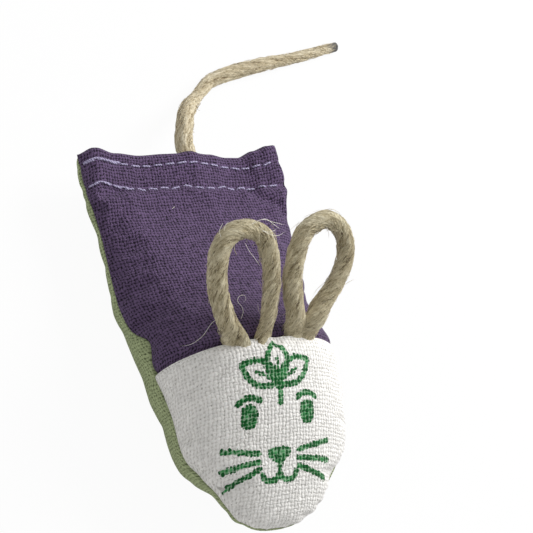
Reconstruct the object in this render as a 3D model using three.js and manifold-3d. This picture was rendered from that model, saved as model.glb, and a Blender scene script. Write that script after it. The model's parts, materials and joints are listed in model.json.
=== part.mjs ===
// A stuffed cloth toy mouse: three sewn canvas panels round a wadding and herb filling, two jute
// rope loops for ears and one jute rope tail. Millimetres. +Z is up, the nose points along -Y and
// the tail along +Y. The origin is under the middle of the body, on the surface that it lies on.
import * as THREE from 'three';
import * as BufferGeometryUtils from 'three/addons/utils/BufferGeometryUtils.js';
import Module from 'manifold-3d';

const wasm = await Module();
wasm.setup();

// Body
const BODY_LENGTH = 95.5; // nose to the edge of the rear hem
const HEM_WIDTH = 56; // across the rear hem, the widest part
const CROWN_HEIGHT = 18; // top of the back over the side seam, where it is fullest
const BELLY_DEPTH = 18.1; // bottom of the belly under the side seam, where it is fullest
const REST_CUT = 0.5; // how far the belly flattens where it lies
const FACE_LENGTH = 40.7; // nose to the seam between face and back

// Cloth and seams
const CLOTH = 0.9; // canvas thickness
const SEAM_GAP = 0.3; // between two cloth edges that are sewn together
const SEAM_ALLOWANCE = 5; // cloth turned in along every seam
const NOSE_SEAM = 4.5; // solid bunch of turned-in cloth at the tip of the nose
const HEM_DEPTH = 10; // flat rear hem, two layers of each panel
const HEM_RAMP = 4; // run over which the hem opens into the pouch
const FIT_GAP = 0.3; // clearance between neighbours inside the mouse
const FILL_GAP = 0.6; // clearance between the filling and the cloth round it
const OVERRUN = 0.2; // how far a cutter passes the face that it cuts

// Rope
const ROPE_RADIUS = 2.25;
const ROPE_SIDES = 8;
const EAR_STEPS = 26;
const TAIL_STEPS = 28;
const ROPE_END_HALF_WIDTH = 2.3; // a rope end pressed flat between two cloth edges
const ROPE_END_HALF_THICKNESS = 1.5;

// Ears
const EAR_LEAN = THREE.MathUtils.degToRad(30); // above level, towards the tail
const EAR_MIDDLE_X = -0.15; // where the gap between the two ears lies
const EAR_GAP = 0.4;
const EAR_RISE = 1.2; // hinge line over the cloth beside the higher leg
const EAR_BACK = THREE.MathUtils.degToRad(-30); // swing towards the tail
const EAR_FORWARD = THREE.MathUtils.degToRad(80); // swing over the face
const EAR_ROOM_STEPS = 5; // places in the swing where the cloth is cleared for a leg
const EAR_END_EXTRA = 1; // how far a sewn-in end reaches past the turned-in cloth
const EAR_LEFT_REACH = 23.6; // from the hinge to the far side of the loop
const EAR_LEFT_FOOT_GAP = 2.6; // between the two sewn-in ends
const EAR_RIGHT_REACH = 25.1;
const EAR_RIGHT_FOOT_GAP = 0.4;

// Tail
const TAIL_X = 2;

// Thread
const THREAD_RADIUS = 0.25;
const THREAD_SIDES = 5;
const THREAD_ROOM_SIDES = 4;
const STITCH_LENGTH = 2.6;
const STITCH_SPACE = 1.1;
const HEM_ROW_OUTER = 3.1; // from the hem edge
const HEM_ROW_INNER = 9.1;
const HEM_ROW_MARGIN = 2.5; // from the side seam
const SIDE_SEAM_INSET = 2;
const SIDE_SEAM_END = 11.5; // from the hem edge
const FACE_SEAM_INSET = 2.6;
const SIDE_SEAM_STEPS = 32;
const FACE_SEAM_STEPS = 20;

// Filling
const CATNIP_BEFORE_SEAM = 3.7; // how far it reaches under the face
const CATNIP_LENGTH = 19;

// Rope routes, chosen by hand. Ears: across and along the loop between its two feet, as shares of
// its reach. Tail: across, behind its hinge, and how much of the height of the hem is left.
const EAR_LEFT_ROUTE_SHARES = [
  [-0.3, 0.23], [-0.39, 0.44], [-0.42, 0.64], [-0.37, 0.85], [-0.26, 0.97], [-0.07, 1],
  [0.13, 0.92], [0.21, 0.78], [0.23, 0.61], [0.22, 0.41], [0.19, 0.2],
];
const EAR_RIGHT_ROUTE_SHARES = [
  [-0.11, 0.14], [-0.13, 0.3], [-0.15, 0.5], [-0.14, 0.65], [-0.1, 0.77], [-0.05, 0.89],
  [0.07, 0.98], [0.2, 1], [0.33, 0.93], [0.41, 0.79], [0.42, 0.65], [0.39, 0.52], [0.33, 0.37],
  [0.26, 0.26], [0.17, 0.14],
];
const TAIL_ROUTE = [
  [0, 0, 1], [0.5, 1.6, 0.97], [2.1, 4.9, 0.86], [4.2, 8.4, 0.66], [6.7, 11.5, 0.45],
  [10.1, 14.7, 0.26], [14.3, 17.9, 0.1], [18.4, 20.2, 0.02], [22.8, 21.9, 0], [28.9, 23.5, 0],
  [36, 25.1, 0], [42.8, 26.7, 0], [50.1, 28.6, 0], [59.6, 31.1, 0],
];

// Shape of the body from nose to hem, as shares: place along the length, half width of half the
// hem's width, height over the seam, depth under the seam, and height of the seam itself. The last
// number is how square the section is: 2 is an ellipse.
const PROFILE_SHARES = [
  [0, 0.11, 0, 0, 0.88, 2],
  [0.012, 0.23, 0.06, 0.06, 0.9, 2],
  [0.04, 0.41, 0.15, 0.16, 0.93, 2],
  [0.1, 0.57, 0.3, 0.37, 0.97, 2],
  [0.18, 0.75, 0.51, 0.71, 0.98, 2],
  [0.3, 0.79, 0.78, 1, 1, 2],
  [0.42, 0.83, 1, 0.885, 0.89, 2],
  [0.6, 0.92, 0.63, 0.62, 0.655, 2],
  [0.8, 0.95, 0.14, 0.3, 0.625, 2.4],
  [0.9, 0.99, 0, 0.06, 0.62, 4],
  [1, 1, 0, 0, 0.625, 6],
];
const [ALONG, WIDE, CROWN, DEEP, SEAM_RISE, SQUARE] = PROFILE_SHARES[0].keys();
const BODY_ROWS = 18;
const NOSE_CROWDING = 1.5; // rows lie closer together towards the nose
const ARC_STEPS = 14;
const BULGE_START_SHARE = 0.84; // where the hem begins to rise over the tail
const BULGE_FULL_SHARE = 0.92;
const BULGE_HALF_WIDTH = 6;

// Worked out from the sizes above
const NOSE_Y = -BODY_LENGTH / 2;
const HEM_Y = BODY_LENGTH / 2;
const FACE_SEAM_Y = NOSE_Y + FACE_LENGTH;
const FULL_SEAM_Z = BELLY_DEPTH - REST_CUT;
const SEAM_FLANGE = SEAM_GAP / 2 + CLOTH; // from the middle of a seam to the inside of its cloth
const HEM_HALF = SEAM_GAP / 2 + 2 * CLOTH;
const HEM_BULGE = ROPE_END_HALF_THICKNESS + FIT_GAP + CLOTH - HEM_HALF;
const LINING = CLOTH + FILL_GAP;
const CAVITY_END_Y = HEM_Y - HEM_DEPTH - HEM_RAMP;

const PURPLE = new THREE.MeshStandardMaterial({ color: 0x5a4a66, roughness: 0.95, metalness: 0 });
const WHITE = new THREE.MeshStandardMaterial({ color: 0xd2d4ce, roughness: 0.95, metalness: 0 });
const GREEN = new THREE.MeshStandardMaterial({ color: 0x7b8862, roughness: 0.95, metalness: 0 });
const JUTE = new THREE.MeshStandardMaterial({ color: 0xa99f82, roughness: 0.95, metalness: 0 });
const THREAD = new THREE.MeshStandardMaterial({ color: 0xb4aecb, roughness: 0.7, metalness: 0 });
const WADDING = new THREE.MeshStandardMaterial({ color: 0xeeece6, roughness: 1, metalness: 0 });
const HERB = new THREE.MeshStandardMaterial({ color: 0x7c7f4e, roughness: 1, metalness: 0 });

// One column of the profile at a share of the length, smooth through its rows
function profile(share, column) {
  const rows = PROFILE_SHARES;
  let low = 0;
  while (low < rows.length - 2 && share > rows[low + 1][ALONG]) low += 1;
  const slope = (row) => {
    const before = rows[Math.max(row - 1, 0)];
    const after = rows[Math.min(row + 1, rows.length - 1)];
    return (after[column] - before[column]) / (after[ALONG] - before[ALONG]);
  };
  const span = rows[low + 1][ALONG] - rows[low][ALONG];
  const t = (share - rows[low][ALONG]) / span;
  const square = t * t;
  const cube = square * t;
  return (2 * cube - 3 * square + 1) * rows[low][column]
    + (cube - 2 * square + t) * span * slope(low)
    + (3 * square - 2 * cube) * rows[low + 1][column]
    + (cube - square) * span * slope(low + 1);
}

const shareAt = (y) => (y - NOSE_Y) / BODY_LENGTH;
const yAt = (share) => NOSE_Y + share * BODY_LENGTH;
const halfWidth = (share) => (HEM_WIDTH / 2) * profile(share, WIDE);
const seamZ = (share) => FULL_SEAM_Z * profile(share, SEAM_RISE);

// Height over the seam on the upper side, or depth under it on the lower side
function swell(share, side) {
  const full = side > 0 ? CROWN_HEIGHT : BELLY_DEPTH;
  const part = Math.max(profile(share, side > 0 ? CROWN : DEEP), 0);
  return HEM_HALF + (full - HEM_HALF) * part;
}

// The hem rises by this much where it passes over the tail's sewn-in end
function hemBulge(share, x) {
  const hemness = THREE.MathUtils.smoothstep(share, BULGE_START_SHARE, BULGE_FULL_SHARE);
  const offset = (x - TAIL_X) / BULGE_HALF_WIDTH;
  return HEM_BULGE * hemness * Math.exp(-offset * offset);
}

// Height of the body's surface over one point of the plan
function surfaceZ(y, x, side, inset = 0, base = 0) {
  const share = shareAt(y);
  const reach = Math.min(Math.abs(x) / (halfWidth(share) - inset), 1);
  const power = profile(share, SQUARE);
  const round = (1 - reach ** power) ** (1 / power);
  const top = swell(share, side) - inset;
  return seamZ(share) + side * (base + (top - base) * round + hemBulge(share, x) * round);
}

// Closed shell from rings of points with the same count, with a fan over each end
function loft(rings) {
  const count = rings[0].length;
  const middle = (ring) => ring
    .reduce((sum, point) => sum.add(point), new THREE.Vector3())
    .divideScalar(count);
  const points = [...rings.flat(), middle(rings[0]), middle(rings[rings.length - 1])];
  const firstMiddle = points.length - 2;
  const lastMiddle = points.length - 1;
  const lastRing = (rings.length - 1) * count;
  const faces = [];
  for (let k = 0; k < count; k += 1) {
    const next = (k + 1) % count;
    for (let r = 0; r < rings.length - 1; r += 1) {
      const a = r * count + k;
      const b = r * count + next;
      faces.push(a, b, b + count, a, b + count, a + count);
    }
    faces.push(firstMiddle, next, k, lastMiddle, lastRing + k, lastRing + next);
  }
  const geometry = new THREE.BufferGeometry();
  geometry.setAttribute('position', new THREE.Float32BufferAttribute(
    points.flatMap((point) => point.toArray()), 3));
  geometry.setIndex(faces);
  return solid(geometry);
}

// Geometry to solid, turned right side out where its rings ran the other way
function solid(geometry) {
  const bare = geometry.clone();
  bare.deleteAttribute('normal');
  bare.deleteAttribute('uv');
  const merged = BufferGeometryUtils.mergeVertices(bare);
  const make = (faces) => new wasm.Manifold(new wasm.Mesh({
    numProp: 3,
    vertProperties: new Float32Array(merged.attributes.position.array),
    triVerts: new Uint32Array(faces),
  }));
  const faces = Array.from(merged.index.array);
  const made = make(faces);
  return made.volume() > 0 ? made : make(faces.reverse());
}

function geometryOf(made) {
  const mesh = made.getMesh();
  const geometry = new THREE.BufferGeometry();
  geometry.setAttribute('position', new THREE.Float32BufferAttribute(mesh.vertProperties, 3));
  geometry.setIndex(Array.from(mesh.triVerts));
  geometry.computeVertexNormals();
  return geometry;
}

// The rows of the body between two places along it
function rowsBetween(from, to) {
  const rows = [];
  for (let k = 1; k < BODY_ROWS; k += 1) {
    const y = yAt((k / BODY_ROWS) ** NOSE_CROWDING);
    if (y > from + CLOTH && y < to - CLOTH) rows.push(y);
  }
  return [from, ...rows, to];
}

// Half of the body, over or under the seam, drawn in by inset and standing base off the seam
function halfBody(side, from, to, inset = 0, base = 0) {
  return loft(rowsBetween(from, to).map((y) => {
    const reach = halfWidth(shareAt(y)) - inset;
    return Array.from({ length: ARC_STEPS + 1 }, (_, k) => {
      const x = reach * Math.cos((Math.PI * k) / ARC_STEPS);
      return new THREE.Vector3(x, y, surfaceZ(y, x, side, inset, base));
    });
  }));
}

// Flat band along the side seam, drawn in by inset and as thick as half on each side of it
function seamBand(from, to, inset, half) {
  return loft(rowsBetween(from, to).map((y) => {
    const reach = halfWidth(shareAt(y)) - inset;
    const z = seamZ(shareAt(y));
    return [[reach, half], [-reach, half], [-reach, -half], [reach, -half]]
      .map(([x, rise]) => new THREE.Vector3(x, y, z + rise));
  }));
}

// Everything below a level, to lay a flat on the belly
function below(level) {
  const size = 2 * BODY_LENGTH;
  const box = new THREE.BoxGeometry(size, size, size);
  box.translate(0, 0, level - size / 2);
  return solid(box);
}

// Shell of one panel, with the edges along its side seams turned in
function panelShell(side, from, to, cavityFrom, cavityTo) {
  const outside = halfBody(side, from, to, 0, SEAM_GAP / 2);
  let inside = halfBody(side, cavityFrom, cavityTo, CLOTH, SEAM_FLANGE);
  if (side < 0) inside = inside.subtract(below(CLOTH));
  const window = seamBand(cavityFrom, cavityTo, SEAM_ALLOWANCE, SEAM_FLANGE + OVERRUN);
  return outside.subtract(inside).subtract(window);
}

// The opening inside the arch of cloth that is turned in along the face seam
function faceSeamWindow() {
  const reach = SEAM_FLANGE + OVERRUN;
  return halfBody(1, FACE_SEAM_Y - reach, FACE_SEAM_Y + reach, SEAM_ALLOWANCE, -OVERRUN);
}

function circle(radius, sides) {
  return new THREE.Shape(Array.from({ length: sides }, (_, k) => {
    const turn = (2 * Math.PI * k) / sides;
    return new THREE.Vector2(radius * Math.cos(turn), radius * Math.sin(turn));
  }));
}

// Round tube along a smooth curve
function tube(points, radius, sides, steps) {
  return solid(new THREE.ExtrudeGeometry(circle(radius, sides), {
    steps,
    bevelEnabled: false,
    extrudePath: new THREE.CatmullRomCurve3(points),
  }));
}

// Tube along straight runs in a plane of constant y, with mitred corners and a flat side up
function stitchTube(points, radius, sides) {
  return loft(points.map((point, k) => {
    const before = points[Math.max(k - 1, 0)];
    const after = points[Math.min(k + 1, points.length - 1)];
    const intoPoint = point.clone().sub(before).normalize();
    const outOfPoint = after.clone().sub(point).normalize();
    const along = intoPoint.clone().add(outOfPoint).normalize();
    const turn = k > 0 && k < points.length - 1 ? intoPoint.dot(along) : 1;
    const across = new THREE.Vector3(0, 1, 0);
    const up = along.cross(across).multiplyScalar(1 / turn);
    const corner = radius / Math.cos(Math.PI / sides);
    return Array.from({ length: sides }, (_, side) => {
      const angle = (Math.PI * (2 * side + 1)) / sides;
      return point.clone()
        .addScaledVector(up, corner * Math.cos(angle))
        .addScaledVector(across, corner * Math.sin(angle));
    });
  }));
}

function ball(radius, sides) {
  return solid(new THREE.SphereGeometry(radius, sides, sides));
}

// Oval prism from one level to another, for a rope end pressed flat
function ovalPost(halfX, halfY, low, high) {
  const post = new THREE.CylinderGeometry(1, 1, high - low, 2 * ROPE_SIDES);
  post.rotateX(Math.PI / 2);
  post.scale(halfX, halfY, 1);
  post.translate(0, 0, (low + high) / 2);
  return solid(post);
}

const EARS = [
  {
    name: 'ear_left',
    shares: EAR_LEFT_ROUTE_SHARES,
    reach: EAR_LEFT_REACH,
    footGap: EAR_LEFT_FOOT_GAP,
    side: -1,
    ends: ['outer', 'inner'],
  },
  {
    name: 'ear_right',
    shares: EAR_RIGHT_ROUTE_SHARES,
    reach: EAR_RIGHT_REACH,
    footGap: EAR_RIGHT_FOOT_GAP,
    side: 1,
    ends: ['inner', 'outer'],
  },
];
for (const ear of EARS) {
  const foot = ROPE_END_HALF_WIDTH + ear.footGap / 2;
  const between = ear.shares.map(([across, along]) => [across * ear.reach, along * ear.reach]);
  ear.route = [[-foot, 0], ...between, [foot, 0]];
  ear.legs = [-foot, foot];
  const inward = Math.max(...ear.route.map(([across]) => -ear.side * across));
  ear.x = EAR_MIDDLE_X + ear.side * (EAR_GAP / 2 + ROPE_RADIUS + inward);
  const legTops = ear.legs.map((leg) => surfaceZ(FACE_SEAM_Y, ear.x + leg, 1));
  ear.hingeZ = Math.max(...legTops) + EAR_RISE;
}

// A rope loop about its hinge, with a round end on the hinge line for each leg
function earLoop(ear) {
  const points = ear.route.map(([across, along]) => new THREE.Vector3(
    across, along * Math.cos(EAR_LEAN), along * Math.sin(EAR_LEAN)));
  let loop = tube(points, ROPE_RADIUS, ROPE_SIDES, EAR_STEPS);
  for (const leg of ear.legs) {
    loop = loop.add(ball(ROPE_RADIUS, ROPE_SIDES).translate([leg, 0, 0]));
  }
  return loop;
}

function earEnd(ear, leg, clearance = 0) {
  const x = ear.x + leg;
  const top = ear.hingeZ - ROPE_RADIUS - FIT_GAP;
  const bottom = surfaceZ(FACE_SEAM_Y, x, 1) - SEAM_ALLOWANCE - EAR_END_EXTRA;
  return ovalPost(
    ROPE_END_HALF_WIDTH + clearance,
    ROPE_END_HALF_THICKNESS + clearance,
    bottom - clearance,
    top + clearance,
  ).translate([x, FACE_SEAM_Y, 0]);
}

// Room in the cloth for the foot of each leg through the whole swing
function legRoom(ear) {
  const radius = ROPE_RADIUS + FIT_GAP;
  const lastPoint = ear.route.length - 1;
  const feet = [[ear.route[0], ear.route[1]], [ear.route[lastPoint], ear.route[lastPoint - 1]]];
  let room = null;
  for (const [foot, next] of feet) {
    const round = ball(radius, ROPE_SIDES).translate([foot[0], 0, 0]);
    room = room ? room.add(round) : round;
    for (let k = 0; k < EAR_ROOM_STEPS; k += 1) {
      const angle = EAR_LEAN + EAR_BACK + ((EAR_FORWARD - EAR_BACK) * k) / (EAR_ROOM_STEPS - 1);
      const [start, end] = [foot, next].map(([across, along]) => new THREE.Vector3(
        across, along * Math.cos(angle), along * Math.sin(angle)));
      room = room.add(tube([start, end], radius, ROPE_SIDES, 1));
    }
  }
  return room.translate([ear.x, FACE_SEAM_Y, ear.hingeZ]);
}

const HEM_SEAM_Z = seamZ(1);
const TAIL_HINGE = new THREE.Vector3(TAIL_X, HEM_Y + FIT_GAP + ROPE_RADIUS, HEM_SEAM_Z);

function tailRope() {
  const points = TAIL_ROUTE.map(([across, behind, height]) => new THREE.Vector3(
    across, behind, (ROPE_RADIUS - HEM_SEAM_Z) * (1 - height)));
  return tube(points, ROPE_RADIUS, ROPE_SIDES, TAIL_STEPS)
    .add(ball(ROPE_RADIUS, ROPE_SIDES));
}

// The tail's sewn-in end lies along the hem, and its cutter runs out past the hem's edge
function tailEnd(clearance = 0) {
  const run = HEM_DEPTH + HEM_RAMP;
  return ovalPost(
    ROPE_END_HALF_WIDTH + clearance,
    ROPE_END_HALF_THICKNESS + clearance,
    -run - clearance,
    clearance,
  ).rotate([-90, 0, 0]).translate([TAIL_X, HEM_Y, HEM_SEAM_Z]);
}

// Row of running stitches over and under the hem, for the thread or for the room round it
function hemRow(fromEdge, clearance = 0) {
  const y = HEM_Y - fromEdge;
  const reach = halfWidth(shareAt(y)) - HEM_ROW_MARGIN;
  const pitch = STITCH_LENGTH + STITCH_SPACE;
  const stitches = Math.floor((2 * reach + STITCH_SPACE) / pitch);
  const start = -(stitches * pitch - STITCH_SPACE) / 2;
  const level = (x, side) => surfaceZ(y, x, side) - side * (THREAD_RADIUS / 2);
  const points = [];
  for (let k = 0; k < stitches; k += 1) {
    const from = start + k * pitch;
    const to = from + STITCH_LENGTH;
    if (k > 0) points.push(new THREE.Vector3(from, y, level(from, -1)));
    points.push(new THREE.Vector3(from - (k > 0 ? 0 : clearance), y, level(from, 1)));
    points.push(new THREE.Vector3(to + (k < stitches - 1 ? 0 : clearance), y, level(to, 1)));
    if (k < stitches - 1) points.push(new THREE.Vector3(to, y, level(to, -1)));
  }
  return stitchTube(points, THREAD_RADIUS + clearance, clearance > 0 ? THREAD_ROOM_SIDES : THREAD_SIDES);
}

// One run of thread inside the side seam, from the hem round the nose and back to the hem
function sideSeamThread(clearance = 0) {
  const places = rowsBetween(NOSE_Y + NOSE_SEAM / 2, HEM_Y - SIDE_SEAM_END + clearance);
  const run = (sign) => places.map((y) => new THREE.Vector3(
    sign * (halfWidth(shareAt(y)) - SIDE_SEAM_INSET), y, seamZ(shareAt(y))));
  const points = [...run(1).reverse(), ...run(-1)];
  return tube(points, THREAD_RADIUS + clearance, THREAD_SIDES, SIDE_SEAM_STEPS);
}

// One run of thread over the arch of the face seam, through the four ear ends
function faceSeamThread(clearance = 0) {
  const share = shareAt(FACE_SEAM_Y);
  const reach = halfWidth(share) - FACE_SEAM_INSET;
  const rise = swell(share, 1) - FACE_SEAM_INSET;
  const low = Math.asin((2 * SEAM_FLANGE - clearance) / rise);
  const points = Array.from({ length: ARC_STEPS + 1 }, (_, k) => {
    const angle = low + ((Math.PI - 2 * low) * k) / ARC_STEPS;
    return new THREE.Vector3(
      reach * Math.cos(angle), FACE_SEAM_Y, seamZ(share) + rise * Math.sin(angle));
  });
  return tube(points, THREAD_RADIUS + clearance, THREAD_SIDES, FACE_SEAM_STEPS);
}

// Room in the cloth for the threads and the rope ends
const hemThreads = [['outer', HEM_ROW_OUTER], ['inner', HEM_ROW_INNER]];
let stitchRoom = sideSeamThread(FIT_GAP).add(faceSeamThread(FIT_GAP));
for (const [, fromEdge] of hemThreads) stitchRoom = stitchRoom.add(hemRow(fromEdge, FIT_GAP));
let ropeRoom = tailEnd(FIT_GAP);
for (const ear of EARS) {
  ropeRoom = ropeRoom.add(legRoom(ear));
  for (const leg of ear.legs) ropeRoom = ropeRoom.add(earEnd(ear, leg, FIT_GAP));
}

// Filling between two places, clear of the panels, of their turned-in edges and of the rope ends
function filling(from, to) {
  let fill = halfBody(1, from, to, LINING, -OVERRUN).add(halfBody(-1, from, to, LINING, -OVERRUN));
  const thick = SEAM_FLANGE + FIT_GAP;
  const past = CLOTH;
  const edges = seamBand(from - past, to + past, -past, thick)
    .subtract(seamBand(from - 2 * past, to + 2 * past, SEAM_ALLOWANCE + FIT_GAP, 2 * thick));
  const arch = halfBody(1, FACE_SEAM_Y - thick, FACE_SEAM_Y + thick, 0, 0)
    .subtract(halfBody(1, FACE_SEAM_Y - 2 * thick, FACE_SEAM_Y + 2 * thick,
      SEAM_ALLOWANCE + FIT_GAP, -OVERRUN));
  return fill.subtract(edges).subtract(arch).subtract(below(LINING)).subtract(ropeRoom);
}

const mouse = new THREE.Group();

function addNode(name, made, material, parent = mouse) {
  const mesh = new THREE.Mesh(geometryOf(made), material);
  mesh.name = name;
  parent.add(mesh);
  return mesh;
}

// Panels
const backPanel = panelShell(1, FACE_SEAM_Y + SEAM_GAP / 2, HEM_Y,
  FACE_SEAM_Y + SEAM_FLANGE, CAVITY_END_Y);
const facePanel = panelShell(1, NOSE_Y, FACE_SEAM_Y - SEAM_GAP / 2,
  NOSE_Y + NOSE_SEAM, FACE_SEAM_Y - SEAM_FLANGE);
const bellyPanel = panelShell(-1, NOSE_Y, HEM_Y, NOSE_Y + NOSE_SEAM, CAVITY_END_Y);
const inTheCloth = (panel) => panel.subtract(ropeRoom).subtract(stitchRoom);
addNode('back_panel', inTheCloth(backPanel.subtract(faceSeamWindow())), PURPLE);
addNode('face_panel', inTheCloth(facePanel.subtract(faceSeamWindow())), WHITE);
addNode('belly_panel', inTheCloth(bellyPanel.subtract(below(0))), GREEN);

// Ears and their sewn-in ends
for (const ear of EARS) {
  const hinge = new THREE.Group();
  hinge.position.set(ear.x, FACE_SEAM_Y, ear.hingeZ);
  mouse.add(hinge);
  addNode(ear.name, earLoop(ear), JUTE, hinge);
  ear.legs.forEach((leg, k) => {
    addNode(`${ear.name}_end_${ear.ends[k]}`, earEnd(ear, leg).subtract(stitchRoom), JUTE);
  });
}

// Tail and its sewn-in end
const tail = addNode('tail', tailRope(), JUTE);
tail.position.copy(TAIL_HINGE);
addNode('tail_end', tailEnd().subtract(stitchRoom), JUTE);

// Threads
for (const [name, fromEdge] of hemThreads) addNode(`hem_thread_${name}`, hemRow(fromEdge), THREAD);
addNode('side_seam_thread', sideSeamThread(), THREAD);
addNode('face_seam_thread', faceSeamThread(), THREAD);

// Filling
const catnipFrontY = FACE_SEAM_Y - CATNIP_BEFORE_SEAM;
const catnipRearY = catnipFrontY + CATNIP_LENGTH;
addNode('stuffing_nose', filling(NOSE_Y + NOSE_SEAM + FILL_GAP, catnipFrontY - FIT_GAP), WADDING);
addNode('catnip_fill', filling(catnipFrontY, catnipRearY), HERB);
addNode('stuffing_rear', filling(catnipRearY + FIT_GAP, CAVITY_END_Y - FILL_GAP), WADDING);

export default mouse;
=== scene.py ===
"""A stuffed cloth toy mouse: three sewn canvas panels, jute rope ears and a jute rope tail."""
import json
import math
import random

import bmesh
import bpy
import numpy
from bpy.props import FloatProperty, FloatVectorProperty, IntProperty, PointerProperty
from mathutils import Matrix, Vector, noise
from mathutils.bvhtree import BVHTree

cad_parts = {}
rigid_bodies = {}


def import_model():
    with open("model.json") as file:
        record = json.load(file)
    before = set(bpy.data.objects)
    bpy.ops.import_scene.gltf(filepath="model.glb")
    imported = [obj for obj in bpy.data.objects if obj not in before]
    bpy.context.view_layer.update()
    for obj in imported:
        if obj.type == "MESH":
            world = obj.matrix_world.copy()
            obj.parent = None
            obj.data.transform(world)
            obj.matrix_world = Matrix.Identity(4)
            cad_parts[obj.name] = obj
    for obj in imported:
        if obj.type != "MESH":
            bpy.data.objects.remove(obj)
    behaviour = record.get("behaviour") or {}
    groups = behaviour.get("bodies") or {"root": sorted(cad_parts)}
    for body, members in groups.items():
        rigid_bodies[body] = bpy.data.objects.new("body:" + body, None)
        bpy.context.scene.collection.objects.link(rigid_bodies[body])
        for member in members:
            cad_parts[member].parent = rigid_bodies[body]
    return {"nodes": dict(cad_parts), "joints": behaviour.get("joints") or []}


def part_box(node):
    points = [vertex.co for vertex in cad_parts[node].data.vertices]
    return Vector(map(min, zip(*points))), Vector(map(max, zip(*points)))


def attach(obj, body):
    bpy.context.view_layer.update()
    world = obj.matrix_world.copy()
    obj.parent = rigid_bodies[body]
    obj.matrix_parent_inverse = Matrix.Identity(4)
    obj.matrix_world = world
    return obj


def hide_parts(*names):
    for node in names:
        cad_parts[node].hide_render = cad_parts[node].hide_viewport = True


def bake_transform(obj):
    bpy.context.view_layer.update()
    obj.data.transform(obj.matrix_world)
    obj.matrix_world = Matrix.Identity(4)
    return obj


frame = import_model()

bl_info = {
    "name": "Stuffed Canvas Mouse",
    "version": (1, 0, 0),
    "blender": (4, 5, 0),
    "location": "View3D > Sidebar > Mouse",
    "description": "Builds a stuffed canvas toy mouse with jute rope ears and tail",
    "category": "Object",
}

MM = 0.001
PI = math.pi

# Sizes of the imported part
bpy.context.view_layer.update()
BELLY_LOW, BELLY_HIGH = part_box("belly_panel")
BACK_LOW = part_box("back_panel")[0]
FACE_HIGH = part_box("face_panel")[1]
NOSE_Y = BELLY_LOW.y
HEM_Y = BELLY_HIGH.y
LENGTH = HEM_Y - NOSE_Y
HALF_HEM = BELLY_HIGH.x
FACE_SEAM_Y = (BACK_LOW.y + FACE_HIGH.y) / 2
FACE_SHARE = (FACE_SEAM_Y - NOSE_Y) / LENGTH
HINGES = {joint["child"]: Vector(joint["pos_m"]) for joint in frame["joints"]}
TAIL_X = HINGES["tail"].x
HEM_SEAM_Z = HINGES["tail"].z

# Sizes of the stuffed body, the same as the part's
FULL_SEAM_Z = 17.6 * MM
CROWN_HEIGHT = 18 * MM
BELLY_DEPTH = 18.1 * MM
SEAM_GAP = 0.3 * MM
HEM_HALF = 1.95 * MM
HEM_BULGE = 0.75 * MM
BULGE_HALF_WIDTH = 6 * MM
BULGE_START_SHARE = 0.84
BULGE_FULL_SHARE = 0.92

# Nose to hem, as shares: place along the length, half width of half the hem's width, height over
# the seam, depth under it, height of the seam itself, and how square the section is
ALONG, WIDE, CROWN, DEEP, SEAM_RISE, SQUARE = range(6)
PROFILE_SHARES = [
    [0, 0.11, 0, 0, 0.88, 2],
    [0.012, 0.23, 0.06, 0.06, 0.9, 2],
    [0.04, 0.41, 0.15, 0.16, 0.93, 2],
    [0.1, 0.57, 0.3, 0.37, 0.97, 2],
    [0.18, 0.75, 0.51, 0.71, 0.98, 2],
    [0.3, 0.79, 0.78, 1, 1, 2],
    [0.42, 0.83, 1, 0.885, 0.89, 2],
    [0.6, 0.92, 0.63, 0.62, 0.655, 2],
    [0.8, 0.95, 0.14, 0.3, 0.625, 2.4],
    [0.9, 0.99, 0, 0.06, 0.62, 4],
    [1, 1, 0, 0, 0.625, 6],
]

# How the cloth is sewn and how it lies: its rows crowd towards the nose, both ends are rounded, the
# hem opens round the tail, the side seams draw it in, the face seam is bowed and folded, the belly
# is tucked in at the hem, loose edges are turned in, and it dips under the two rows of topstitching
NOSE_CROWDING = 1.3
NOSE_ROUND = 1.8 * MM
HEM_ROUND = 1.3 * MM
MOUTH_HALF_WIDTH = 2.1 * MM
MOUTH_OPEN = 0.4
MOUTH_DEPTH = 2.8 * MM
GROOVE_WIDTH = 1.5 * MM
SEAM_BOW = 2.1 * MM
SEAM_BOW_POWER = 2.5
SEAM_BOW_FADE = 0.6
FLATTEST_RISE = 0.05
FOLD_LIP = 0.6 * MM
FOLD_LIFT = 0.9 * MM
FOLD_LIFT_HALF_WIDTH = 15 * MM
FOLD_WIDTH = 3.5 * MM
FOLD_ROUND = 0.6 * MM
FOLD_DIP = 0.9 * MM
LOWER_TUCK = 0.35 * MM
LOWER_TUCK_POWER = 8
TURNED_IN = 2.5 * MM
ROW_PLACES = (3.1 * MM, 9.1 * MM)
ROW_DRIFTS = (
    [(-24, -0.1), (-13, 0.4), (-1, 0.1), (8.5, 0.5), (17, 0.8), (23, 1.4), (27, 1.2)],
    [(-24, -0.5), (-13, 0.5), (-1, 0.4), (8.5, 0.8), (17, 0.2), (23, 0.8)],
)
ROW_DIP = 0.22 * MM
ROW_DIP_WIDTH = 0.9 * MM

# Waves of the rear hem from one side to the other: place across and reach towards the tail. They
# lift in proportion, and fade by the distance from the edge.
HEM_WAVE = [
    (-28, 0.1), (-24.5, 1.1), (-18.5, 0.15), (-11.7, -0.3), (-4.9, -0.1), (2, 0),
    (7.5, -0.3), (13.2, -0.9), (17, -0.95), (21.5, 0.1), (26, 0.9), (28, 1.0),
]
HEM_WAVE_LIFT = 1.75
HEM_WAVE_FADE = [(0, 1), (3, 0.75), (9, 0.6), (22, 0)]

# How far the hem's right end draws in, by the distance from the edge, and where across it starts
HEM_DRAWN_IN = [(0, 1.8), (4, 1.15), (8, 0.5), (12, 0)]
HEM_DRAWN_FROM = 14
HEM_DRAWN_OVER = 14

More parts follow.
